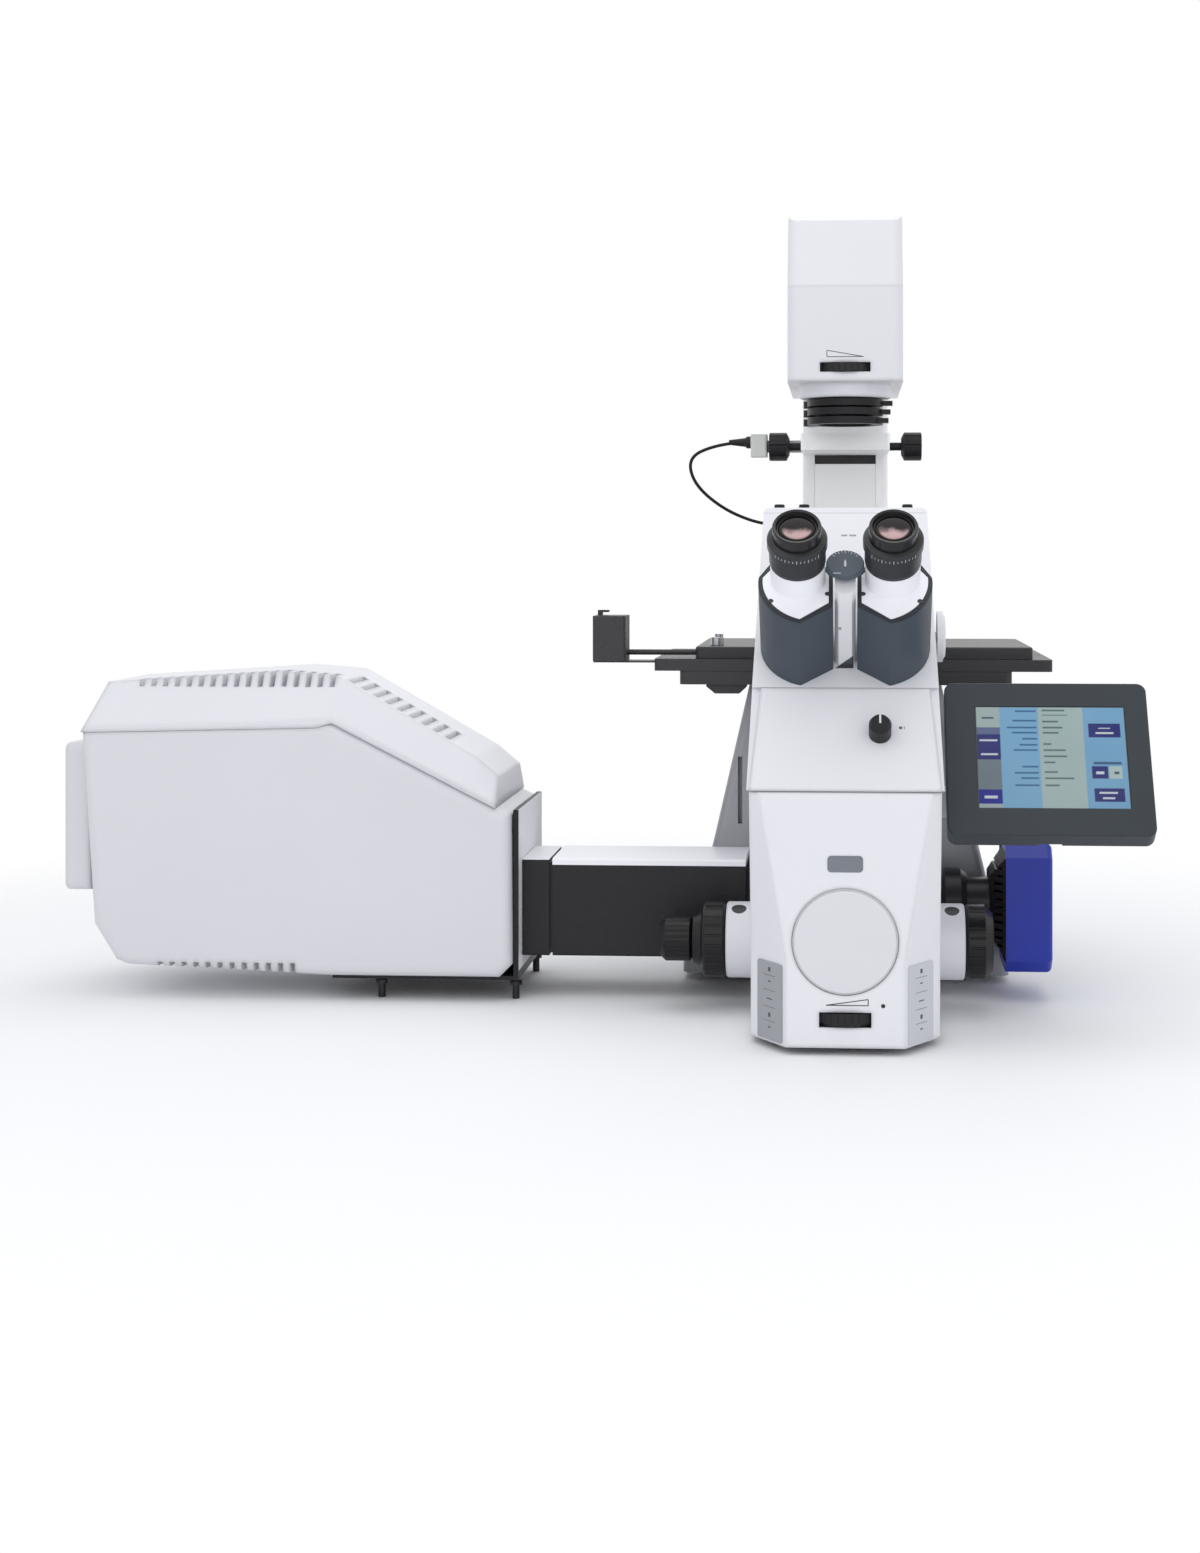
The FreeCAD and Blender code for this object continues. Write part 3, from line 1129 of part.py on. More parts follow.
cross = new_body("stage_cross_plate")
pad(cross, rectangle(cross, "XY", "-cross_left", "cross_right", "-stage_front", "stage_rear", "frame_top + running_gap"),
    "cross_top - frame_top - running_gap")
soften(cross, "4", along_z)
pocket(cross, rectangle(cross, "XY", "-well_half", "well_half", "-well_front", "stage_rear - 24", "frame_top"),
       "cross_top - frame_top")
for side in (-1, 1):
    pocket(cross, rectangle(cross, "YZ", "%d * 8 - 8 - 82" % (side * 9), "%d * 8 - 4 - 82" % (side * 9), "cross_top - 2",
                            "cross_top + 1", "-cross_left"), "cross_left + cross_right")
screw_height = "(cross_top + plate_top) / 2"
pad(cross, rectangle(cross, "XY", "-motor_left", "-cross_left + 2", "-screw_depth - 14", "-screw_depth + 14",
                     "motor_low - 1.5"), "1.5")
piece(cross)

top = new_body("stage_top_plate")
pad(top, rectangle(top, "XY", "-plate_left", "plate_right", "-stage_front + 6", "stage_rear - 8",
                   "cross_top + running_gap"), "plate_top - cross_top - running_gap")
soften(top, "5", along_z)
soften(top, "1", lambda middle, along: middle.z > value("plate_top") - 0.1, "Chamfer")
pocket(top, rectangle(top, "XY", "-window_across", "window_across", "-window_deep", "window_deep", "cross_top"),
       "plate_top - cross_top")
pocket(top, rectangle(top, "XY", "-window_across - insert_lip", "window_across + insert_lip",
                      "-window_deep - insert_lip", "window_deep + insert_lip", "plate_top - insert_thick"), "insert_thick + 1")
pocket(top, circles(top, "YZ", "screw_radius + shaft_gap", [("-screw_depth", screw_height)], "-plate_left - 1"),
       "plate_left + 12")
piece(top)

insert = new_body("specimen_insert")
pad(insert, rectangle(insert, "XY", "-window_across - insert_lip + running_gap", "window_across + insert_lip - running_gap",
                      "-window_deep - insert_lip + running_gap", "window_deep + insert_lip - running_gap",
                      "plate_top - insert_thick"), "insert_thick")
pocket(insert, circles(insert, "XY", "specimen_radius", offset="plate_top - insert_thick"), "insert_thick + 1")
piece(insert)

motor = new_body("stage_motor")
pad(motor, rectangle(motor, "XZ", "-motor_left", "-motor_right", "motor_low", "motor_high",
                     "screw_depth - motor_deep / 2"), "motor_deep")
soften(motor, "3", along_z)
pad(motor, circles(motor, "YZ", "screw_radius", [("-screw_depth", screw_height)], "-motor_right - 2"),
    "motor_right + 2 - plate_left / 2")
pad(motor, outline(motor, "XZ", [
    ("-motor_left + 3", "motor_high - 1"), ("-motor_left + 7", "motor_high - 1"), ("-motor_left + 7", "motor_high + 3"),
    ("-motor_left + 13", "motor_high + 3"), ("-motor_left + 13", "motor_high + 5"), ("-motor_left + 3", "motor_high + 5"),
], "screw_depth - 4"), "8")
piece(motor)

lever = new_body("clamp_lever", "-plate_left + 18", "-stage_front + 40", "plate_top + running_gap")
pad(lever, circles(lever, "XY", "6"), "7")
pad(lever, circles(lever, "XY", "2.5", offset="-running_gap - 4"), "6")
pad(lever, outline(lever, "XY", [("-3", "0"), ("3", "0"), ("2", "30"), ("-2", "30")], "2"), "3")
pad(lever, circles(lever, "XY", "4", [("0", "30")]), "9")
piece(lever)
lever_bore = doc.addObject("Part::Cylinder", "lever_bore")
bind(lever_bore, Radius="2.5 + shaft_gap", Height="6")
seat(lever_bore, "-plate_left + 18", "-stage_front + 40", "plate_top - 5")
pieces.remove(top)
top.Label = "top_plate_blank"
piece(cut_from("stage_top_plate_bored", top, lever_bore), "stage_top_plate")

# Light arm: a pillar hinged on the casting, its head over the stage, filters, condenser and lamp

sizes(
    ("pillar_half", 43, "half width of the pillar"),
    ("pillar_front", 142, "front of the pillar behind the optical axis"),
    ("pillar_rear", 183, "rear of the pillar"),
    ("rail_half", 31, "half width of the recess for the condenser's slide"),
    ("rail_low", 330, "lower end of the recess"),
    ("rail_deep", 6, "depth of the recess"),
    ("bridge_low", 494, "underside of the white bridge"),
    ("bridge_high", 510, "top of the white bridge"),
    ("bridge_front", 30, "front of the bridge behind the optical axis"),
    ("head_front", 54, "front of the arm's head before the optical axis"),
    ("head_half", 54, "half width of the arm's head"),
    ("head_low", 554, "underside of the arm's head"),
    ("head_crease", 643, "height of the crease"),
    ("head_high", 714, "top of the arm's head"),
    ("head_lean", 30, "how far the head's upper front leans back"),
    ("head_back", 196, "rear of the arm's head"),
    ("head_round", 10, "rounding of the arm's head"),
    ("field_collar", 43.5, "radius of the collar under the head"),
    ("field_collar_low", 541, "underside of the collar"),
    ("lamp_slot_half", 23.5, "half width of the head's thumbwheel slot"),
    ("lamp_slot_low", 563, "lower edge of the slot"),
    ("lamp_slot_high", 572, "upper edge of the slot"),
    ("lamp_wheel", 34, "radius of the head's thumbwheel"),
    ("lamp_wheel_out", 3, "how far the thumbwheel stands out"),
    ("filter_radius", 36, "filter holders"),
    ("filter_glass", 26, "filter discs in their holders"),
    ("filter_pitch", 8.6, "pitch of the filter holders"),
    ("filter_thick", 6.6, "thickness of a filter holder"),
    ("filter_pin", 3, "pin that the filter holders swing on"),
    ("filter_pin_across", 33, "pin to the left of the optical axis"),
    ("filter_pin_depth", 22, "pin behind the optical axis"),
    ("slide_low", 385, "underside of the condenser carriage"),
    ("slide_high", 484, "top of the condenser carriage's slide"),
    ("fork_thick", 15, "thickness of the condenser's fork"),
    ("condenser_radius", 50, "condenser turret"),
    ("condenser_offset", 30, "condenser turret's axis behind the optical axis"),
    ("condenser_thick", 16, "thickness of the condenser turret"),
    ("lens_radius", 26, "condenser lens barrel"),
    ("lens_tip", 16, "lower end of the condenser lens barrel"),
    ("lens_low", 340, "underside of the condenser lens"),
    ("lift_depth", 78, "condenser drive shaft behind the optical axis"),
    ("lift_height", 499, "height of the condenser drive shaft"),
    ("lift_shaft", 4, "radius of the condenser drive shaft"),
    ("lift_knob", 14, "condenser drive knobs"),
    ("lift_knob_inner", 55, "inner face of the condenser knobs"),
    ("lift_knob_outer", 75, "outer face of the condenser knobs"),
    ("pod_left", 93, "outer side of the sensor pod"),
    ("cable_radius", 1.6, "cable of the sensor pod"),
    ("pod_exit", 503.5, "height at which the cable leaves the pod"),
    ("socket_depth", 160, "cable socket behind the optical axis"),
    ("socket_height", 423, "height of the cable socket"),
    ("lamp_half", 44, "half width of the lamp module"),
    ("lamp_low", 596, "underside of the lamp module"),
    ("lamp_high", 690, "top of the lamp module"),
    ("lamp_fin", 3, "thickness of the lamp's cooling fins"),
)
hinge_height = "stage_under + hinge_rise"
pillar = new_body("pillar")
pad(pillar, rectangle(pillar, "XY", "-pillar_half", "pillar_half", "pillar_front", "pillar_rear",
                      "stage_under + running_gap"), "head_low - stage_under - running_gap")
soften(pillar, "6", along_z)
pocket(pillar, rectangle(pillar, "XZ", "-rail_half", "rail_half", "rail_low", "bridge_low - 1", "-pillar_front - rail_deep"),
       "rail_deep + 1")
pad(pillar, outline(pillar, "YZ", [
    ("pillar_rear - 6", hinge_height + " - hinge_radius"),
    ("hinge_depth", hinge_height + " - hinge_radius", "hinge_radius", 1),
    ("hinge_depth + hinge_radius", hinge_height, "hinge_radius", 1),
    ("hinge_depth", hinge_height + " + hinge_radius"),
    ("pillar_rear - 6", hinge_height + " + hinge_radius * 2"),
], "-knuckle_half"), "2 * knuckle_half")
pad(pillar, circles(pillar, "YZ", "hinge_pin", [("hinge_depth", hinge_height)], "-ear_half"), "2 * ear_half")
bridge = new_body("bridge")
pad(bridge, rectangle(bridge, "XY", "-pillar_half", "pillar_half", "bridge_front", "pillar_front + 8", "bridge_low"),
    "bridge_high - bridge_low")
soften(bridge, "3", along_z)
pocket(bridge, circles(bridge, "XY", "filter_glass", offset="bridge_low"), "bridge_high - bridge_low")
pocket(bridge, circles(bridge, "YZ", "lift_shaft + shaft_gap", [("lift_depth", "lift_height")], "-pillar_half - 1"),
       "2 * pillar_half + 2")
piece(joined("arm_pillar", pillar, bridge))

head = new_body("arm_head")
pad(head, outline(head, "YZ", [
    ("-head_front", "head_low + running_gap"),
    ("head_back", "head_low + running_gap"),
    ("head_back", "head_high - 24"),
    ("head_back - 46", "head_high"),
    ("-head_front + head_lean + 16", "head_high"),
    ("-head_front + head_lean", "head_high - 6"),
    ("-head_front", "head_crease"),
], "-head_half"), "2 * head_half")
soften(head, "head_round", lambda middle, along: middle.y < -10 and abs(along.x) < 0.1 and abs(along.y) < 0.6)
soften(head, "head_round * 0.7", lambda middle, along: abs(middle.z - value("head_high")) < 0.1)
wheel_depth = "-(head_front + lamp_wheel_out - lamp_wheel)"
pocket(head, circles(head, "XY", "lamp_wheel + 1.5", [("0", wheel_depth)], "lamp_slot_low"),
       "lamp_slot_high - lamp_slot_low")
pocket(head, rectangle(head, "XZ", "-lamp_slot_half", "lamp_slot_half", "lamp_slot_low", "lamp_slot_high",
                       "head_front - 12"), "13")
pocket(head, circles(head, "XY", "wheel_pin + shaft_gap", [("0", wheel_depth)], "lamp_slot_low - 5"),
       "lamp_slot_high - lamp_slot_low + 10")
spin(head, outline(head, "XZ", [
    ("0", "field_collar_low + 1"),
    ("28", "field_collar_low + 1"),
    ("30", "field_collar_low"),
    ("field_collar - 1", "field_collar_low"),
    ("field_collar", "field_collar_low + 1"),
    ("field_collar", "head_low + 1"),
    ("0", "head_low + 1"),
]))
pad(head, circles(head, "XY", "filter_pin", [("-filter_pin_across", "filter_pin_depth")],
                  "field_collar_low - 3 * filter_pitch"), "3 * filter_pitch + 1")
piece(head)

lamp_wheel = new_body("head_wheel", "0", wheel_depth)
spin(lamp_wheel, outline(lamp_wheel, "XZ", [
    ("0", "lamp_slot_low - 4.5"),
    ("wheel_pin", "lamp_slot_low - 4.5"),
    ("wheel_pin", "lamp_slot_low + 0.6"),
    ("lamp_wheel", "lamp_slot_low + 0.6"),
    ("lamp_wheel", "lamp_slot_high - 0.6"),
    ("wheel_pin", "lamp_slot_high - 0.6"),
    ("wheel_pin", "lamp_slot_high + 4.5"),
    ("0", "lamp_slot_high + 4.5"),
]))
tooth = pocket(lamp_wheel, circles(lamp_wheel, "XY", "0.8", [("lamp_wheel + 0.3", "0")], "lamp_slot_low"), "9")
copies(lamp_wheel, [tooth], "PolarPattern", "Z_Axis", 36)
piece(lamp_wheel)

for index, name in enumerate(("filter_upper", "filter_middle", "filter_lower")):
    low = "field_collar_low - %d * filter_pitch + (filter_pitch - filter_thick) / 2" % (index + 1)
    holder = new_body(name, "0", "0", low)
    pad(holder, circles(holder, "XY", "filter_radius"), "filter_thick")
    pad(holder, circles(holder, "XY", "filter_pin * 2.4", [("-filter_pin_across", "filter_pin_depth")]), "filter_thick")
    pad(holder, rectangle(holder, "XY", "filter_radius - 6", "filter_radius + 9 - %d" % (2 * index), "-%d" % (4 + 7 * index),
                          "%d" % (6 - 7 * index), "1"), "filter_thick - 2")
    pocket(holder, circles(holder, "XY", "filter_glass", offset="filter_thick - 2"), "3")
    pocket(holder, circles(holder, "XY", "filter_glass", offset="-1"), "3")
    pocket(holder, circles(holder, "XY", "filter_pin + shaft_gap", [("-filter_pin_across", "filter_pin_depth")], "-1"),
           "filter_thick + 2")
    piece(holder)

# Condenser on its slide, driven by two knobs on one shaft

carriage = new_body("condenser_carriage")
pad(carriage, rectangle(carriage, "XY", "-rail_half + running_gap", "rail_half - running_gap", "pillar_front - 8",
                        "pillar_front + rail_deep - running_gap", "slide_low"), "slide_high - slide_low")
pad(carriage, rectangle(carriage, "XY", "-lens_radius - 8", "lens_radius + 8", "0", "pillar_front - 7", "slide_low"),
    "fork_thick")
pad(carriage, circles(carriage, "XY", "lens_radius + 8", offset="slide_low"), "fork_thick")
pocket(carriage, circles(carriage, "XY", "lens_radius - 4", offset="slide_low"), "fork_thick")
pocket(carriage, circles(carriage, "XY", "4 + shaft_gap", [("0", "condenser_offset")], "slide_low"), "fork_thick")
piece(carriage)

condenser = new_body("condenser_turret", "0", "condenser_offset")
spin(condenser, outline(condenser, "XZ", [
    ("0", "slide_low + 2"),
    ("4", "slide_low + 2"),
    ("4", "slide_low + fork_thick + running_gap"),
    ("condenser_radius", "slide_low + fork_thick + running_gap"),
    ("condenser_radius", "slide_low + fork_thick + condenser_thick - 2"),
    ("condenser_radius - 2", "slide_low + fork_thick + condenser_thick"),
    ("0", "slide_low + fork_thick + condenser_thick"),
]))
station = pocket(condenser, circles(condenser, "XY", "11", [("0", "-condenser_offset")], "slide_low + fork_thick"),
                 "condenser_thick + 1")
copies(condenser, [station], "PolarPattern", "Z_Axis", 6)
piece(condenser)

barrel = new_body("condenser_lens")
spin(barrel, outline(barrel, "XZ", [
    ("0", "lens_low"),
    ("lens_tip", "lens_low"),
    ("lens_radius", "lens_low + 24"),
    ("lens_radius", "slide_low"),
    ("lens_radius - 4", "slide_low"),
    ("lens_radius - 4", "slide_low + 4"),
    ("0", "slide_low + 4"),
]))
piece(barrel)

knobs = new_body("condenser_knobs", "0", "lift_depth", "lift_height")
spin(knobs, outline(knobs, "XY", [
    ("-lift_knob_outer", "0"),
    ("-lift_knob_outer", "lift_knob - 1"),
    ("-lift_knob_outer + 1", "lift_knob"),
    ("-lift_knob_inner - 3", "lift_knob"),
    ("-lift_knob_inner", "lift_knob * 0.6"),
    ("-lift_knob_inner", "lift_shaft"),
    ("lift_knob_inner", "lift_shaft"),
    ("lift_knob_inner", "lift_knob * 0.6"),
    ("lift_knob_inner + 3", "lift_knob"),
    ("lift_knob_outer - 1", "lift_knob"),
    ("lift_knob_outer", "lift_knob - 1"),
    ("lift_knob_outer", "0"),
]), "H_Axis")
flute = pocket(knobs, circles(knobs, "YZ", "2.2", [("0", "lift_knob + 0.8")], "-lift_knob_outer"), "2 * lift_knob_outer")
copies(knobs, [flute], "PolarPattern", "X_Axis", 8)
piece(knobs)

# Sensor pod beside the left knob, its cable and the cable's socket on the pillar

pod = new_body("pod_case")
pad(pod, rectangle(pod, "XY", "-pod_left", "-lift_knob_outer - 2", "lift_depth - 13", "lift_depth + 17", "lift_height - 10"),
    "22")
soften(pod, "3", along_z)
pad(pod, rectangle(pod, "XY", "-lift_knob_outer - 3", "-pillar_half", "lift_depth + 14.6", "lift_depth + 19",
                   "lift_height - 5"), "12")
relief = new_body("strain_relief", "-pod_left", "lift_depth", "pod_exit")
spin(relief, outline(relief, "XY", [
    ("1", "0"), ("1", "6"), ("-4", "6"), ("-6", "4.4"), ("-22", "cable_radius + 0.9"), ("-22", "0"),
]), "H_Axis")
socket = new_body("cable_socket", "-pillar_half", "socket_depth", "socket_height")
spin(socket, outline(socket, "XY", [
    ("0", "0"), ("0", "7"), ("-3", "7"), ("-4", "5.5"), ("-10", "5"), ("-10", "cable_radius + running_gap"),
    ("-5", "cable_radius + running_gap"), ("-5", "0"),
]), "H_Axis")
piece(socket)

# The cable leaves the pod to the left, bends down and back, and runs in to the pillar behind the head block

CABLE_POINTS = [
    (-108, 78, 503.2),
    (-129, 79, 501),
    (-156, 83, 489),
    (-151, 93, 463),
    (-124, 110, 439),
    (-92, 134, 425),
    (-70, 160, 423),
    (-48.5, 160, 423),
]


def cord_path(points):
    """Straight runs joined by tangent arcs, and the arcs' radii."""
    corners = [Vector(*point) for point in points]
    edges, radii, last = [], [], corners[0]
    for before, corner, after in zip(corners, corners[1:], corners[2:]):
        arriving = (corner - before).normalize()
        leaving = (after - corner).normalize()
        half_turn = arriving.getAngle(leaving) / 2
        setback = 0.45 * min((corner - before).Length, (after - corner).Length)
        start, end = corner - arriving * setback, corner + leaving * setback
        radius = setback / math.tan(half_turn)
        bisector = (leaving - arriving).normalize()
        middle = corner + bisector * (radius / math.cos(half_turn) - radius)
        edges += [Part.LineSegment(last, start).toShape(), Part.Arc(start, middle, end).toShape()]
        radii.append(radius)
        last = end
    edges.append(Part.LineSegment(last, corners[-1]).toShape())
    return Part.Wire(edges), radii


path_wire, bend_radii = cord_path(CABLE_POINTS)
start = Vector(*CABLE_POINTS[0])
heading = Vector(*CABLE_POINTS[1]) - start
section = Part.Wire(Part.makeCircle(value("cable_radius"), start, heading))
cable = doc.addObject("Part::Feature", "pod_cable")
cable.Shape = path_wire.makePipeShell([section], True, False)
seat(cable)
piece(cable)
print("cable length %.1f, volume share %.4f, bend radii %s" % (
    path_wire.Length, cable.Shape.Volume / (path_wire.Length * math.pi * value("cable_radius") ** 2),
    ["%.1f" % radius for radius in bend_radii]))
relief_bore = doc.addObject("Part::Feature", "relief_bore")
relief_bore.Shape = Part.makeCylinder(value("cable_radius + running_gap"), 30, start, heading)
seat(relief_bore)
piece(cut_from("sensor_pod", joined("pod_blank", pod, relief), relief_bore))

# Lamp module behind the arm's head

lamp = new_body("lamp_module")
pad(lamp, rectangle(lamp, "XZ", "-lamp_half * 0.7", "lamp_half * 0.7", "lamp_low + 12", "lamp_high - 12", "-reach_back"),
    "reach_back - head_back")
pad(lamp, rectangle(lamp, "XZ", "-lamp_half", "lamp_half", "lamp_low", "lamp_high", "-head_back - 22"), "22")
fin = pad(lamp, rectangle(lamp, "XZ", "-lamp_half", "lamp_half", "lamp_low", "lamp_high", "-head_back - 30 - lamp_fin"),
          "lamp_fin")
copies(lamp, [fin], "LinearPattern", "Y_Axis", 10, Length="reach_back - head_back - 30 - lamp_fin")
piece(lamp)
# The finished document is checked and each piece is written to its own file

doc.recompute()
os.makedirs("parts", exist_ok=True)
for item in doc.Objects:
    if "Invalid" in item.State or "Error" in item.State:
        raise RuntimeError("%s is not built: %s" % (item.Name, item.State))
for item in pieces:
    shape = item.Shape
    if shape.isNull() or not shape.isValid() or not shape.Solids:
        raise RuntimeError("%s has no valid solid" % item.Label)
    shape.exportStep("parts/%s.step" % item.Label)
    box = shape.BoundBox
    print("%-20s solids %2d volume %10.0f  X %7.1f %7.1f  Y %7.1f %7.1f  Z %7.1f %7.1f" % (
        item.Label, len(shape.Solids), shape.Volume, box.XMin, box.XMax, box.YMin, box.YMax, box.ZMin, box.ZMax))
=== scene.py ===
"""Dresses the confocal microscope: finishes, marks, screws, lenses, screen picture, cable and studio."""

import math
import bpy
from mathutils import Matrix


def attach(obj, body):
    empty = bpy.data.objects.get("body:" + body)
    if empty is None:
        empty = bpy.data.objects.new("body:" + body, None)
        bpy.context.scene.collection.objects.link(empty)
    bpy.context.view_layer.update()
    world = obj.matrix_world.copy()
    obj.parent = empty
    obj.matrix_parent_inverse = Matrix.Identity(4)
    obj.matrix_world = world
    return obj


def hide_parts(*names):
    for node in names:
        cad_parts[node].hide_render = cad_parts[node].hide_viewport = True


bl_info = {
    "name": "Confocal Microscope",
    "version": (1, 0, 0),
    "blender": (4, 5, 0),
    "location": "3D View > Sidebar > Microscope",
    "description": "Dresses the confocal microscope with its finishes, marks, lenses, cable and studio",
    "category": "Object",
}

import bpy
import numpy as np

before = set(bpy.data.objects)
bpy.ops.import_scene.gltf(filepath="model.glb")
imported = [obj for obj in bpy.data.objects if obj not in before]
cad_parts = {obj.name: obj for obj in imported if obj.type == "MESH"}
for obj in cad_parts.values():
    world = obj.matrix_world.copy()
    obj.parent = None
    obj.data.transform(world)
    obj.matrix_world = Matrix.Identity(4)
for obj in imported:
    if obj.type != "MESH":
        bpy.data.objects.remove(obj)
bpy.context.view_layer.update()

PER_METRE = 1000  # millimetres

# The stand's own axes start on the optical axis, the row's on the middle of the box. In metres
AXIS_X = 0.2255
AXIS_Y = 0.03953

# Places on the stand, in its millimetres
FRONT_FACE = -390
FAR = 500  # past the edges of every marked piece
PORT_HEIGHT = 89.3
PORT_RING = (39.5, 42.3)
COLUMN_TOP = 206.8
HEAD_FOOT = 207.2
SPINE_FOOT = (-8.2, 300.3)
SPINE_SHADOW_WIDE = 14.8
HEAD_LINE = 429.2
HEAD_CAPS = -174
BRACKET_FACE = (-287.5, -186.03, 26)
FLANGE_TOP = (-262, 121.3)
COLLAR_HOLE = (91, -224.8, 89)
POD_SLEEVE = -93.5
EYE_LENS = (0, FRONT_FACE, 414)
EYE_OFFSET = 37.9
FLANGE_LEVEL = -57.5
DISC_LEVEL = -38.9
COLLAR_LEVEL = -14.6
COLLAR_RADIUS = 24
DISPLAY_FOOT = (168, -352, 169.5)
DISPLAY_LEAN = 33.7  # degrees
OBJECTIVE_TIP = (292.5, 293.5)
ARM_CREASE = 643

# The eye tubes' own directions: out along them, up the slope and to the right
TILT = np.array([0.0, -1.0, 1.0]) / math.sqrt(2)
RISE = np.array([0.0, 1.0, 1.0]) / math.sqrt(2)
RIGHT = np.array([1.0, 0.0, 0.0])
UPRIGHT = np.array([0.0, 0.0, 1.0])

# The column's corner chamfers and its leaning panel, as their two legs in millimetres
CHAMFER = (29, 45)
PANEL = (59, 78)

# Plates of prints and labels, in millimetres
PLATE_ROOT = 0.15
WIDEST_BEVEL = 0.3
SIGN_LINE = 0.8
SCREEN_LIFT = 0.12

# The coarser grain of some moulded plastic
COARSE = {"grain": 1100.0, "depth": 0.00005, "rough": 0.5}

# How far a grain's scale shrinks along each axis, for lines drawn sideways, in depth or upwards
SIDEWAYS = (0.05, 1, 1)
IN_DEPTH = (1, 0.1, 1)
UPWARDS = (1, 1, 0.05)

# The studio: the floor in metres, the camera in the stand's millimetres
WHITE = (1.0, 1.0, 1.0)
SKY_TINT = (0.95, 0.97, 1.0)
SKY_STRENGTH = 0.72
FLOOR_SHADOW = 0.62
FLOOR_WHITE = 1.15
FLOOR_DROP = 0.0002
CAMERA_PLACE = (0, -2190, 397)
CAMERA_TURN = 3.605  # degrees


def stand(x, y, z):
    """A point given in millimetres from the optical axis and the bench, in the row's metres."""
    return np.array([AXIS_X + x / PER_METRE, AXIS_Y + y / PER_METRE, z / PER_METRE])


def on_tilt(across, up, along):
    """A point of the binocular head: across, up the slope and out along the eye tubes."""
    return stand(*EYE_LENS) + (across * RIGHT + up * RISE + along * TILT) / PER_METRE


def colour(red, green, blue):
    """An 8-bit screen colour as the linear colour that the shader takes."""
    parts = np.array([red, green, blue]) / 255
    linear = np.where(parts <= 0.04045, parts / 12.92, ((parts + 0.055) / 1.055) ** 2.4)
    return tuple(linear.tolist())


class Wire:
    """A shader value that takes part in sums, so that shader maths reads as an expression."""

    def __init__(self, nodes, socket):
        self.nodes = nodes
        self.socket = socket

    def maths(self, operation, *others):
        """The result of one Math node on this value and others."""
        values = dict(enumerate([self] + list(others)))
        return self.nodes.node("ShaderNodeMath", "Value", {"operation": operation}, values)

    def __add__(self, other):
        return self.maths("ADD", other)

    __radd__ = __add__

    def __mul__(self, other):
        return self.maths("MULTIPLY", other)

    __rmul__ = __mul__

    def __sub__(self, other):
        return self.maths("SUBTRACT", other)

    def __rsub__(self, other):
        return (self * -1) + other

    def __abs__(self):
        return self.maths("ABSOLUTE")

    def __lt__(self, other):
        return self.maths("LESS_THAN", other)

    def __gt__(self, other):
        return self.maths("GREATER_THAN", other)

    def within(self, low, high):
        """1 where the value lies between two numbers, and 0 elsewhere."""
        return (self > low) * (self < high)

    def step(self, low, high):
        """0 below low, 1 above high, and a smooth rise between them."""
        return self.nodes.node("ShaderNodeMapRange", "Result", {"interpolation_type": "SMOOTHSTEP"},
                               {0: self, 1: low, 2: high, 3: 0.0, 4: 1.0})


class Nodes:
    """A node tree whose nodes all come from one method."""

    def __init__(self, tree):
        self.tree = tree
        tree.nodes.clear()

    def node(self, kind, output=None, settings=None, inputs=None):
        """Adds any node: its settings first, then its inputs by name or number. Gives the named output."""
        made = self.tree.nodes.new(kind)
        for key, setting in (settings or {}).items():
            setattr(made, key, setting)
        for key, given in (inputs or {}).items():
            socket = made.inputs[key]
            if isinstance(given, Wire):
                self.tree.links.new(given.socket, socket)
            elif isinstance(given, tuple) and socket.type == "RGBA":
                socket.default_value = given[:3] + (1.0,)
            else:
                socket.default_value = given
        return None if output is None else Wire(self, made.outputs[output])

    def shown(self):
        """1 on the rays that show the background: those of the camera, of mirrors and through glass."""
        rays = self.node("ShaderNodeLightPath", "Is Camera Ray")
        outputs = rays.socket.node.outputs
        for name in ("Is Glossy Ray", "Is Transmission Ray"):
            rays = rays.maths("MAXIMUM", Wire(self, outputs[name]))
        return rays

    def mix(self, factor, first, second):
        """A surface between two surfaces."""
        return self.node("ShaderNodeMixShader", "Shader", {}, {0: factor, 1: first, 2: second})

    def end(self, kind, surface):
        """Leads the surface to the tree's output."""
        self.node(kind, inputs={"Surface": surface})


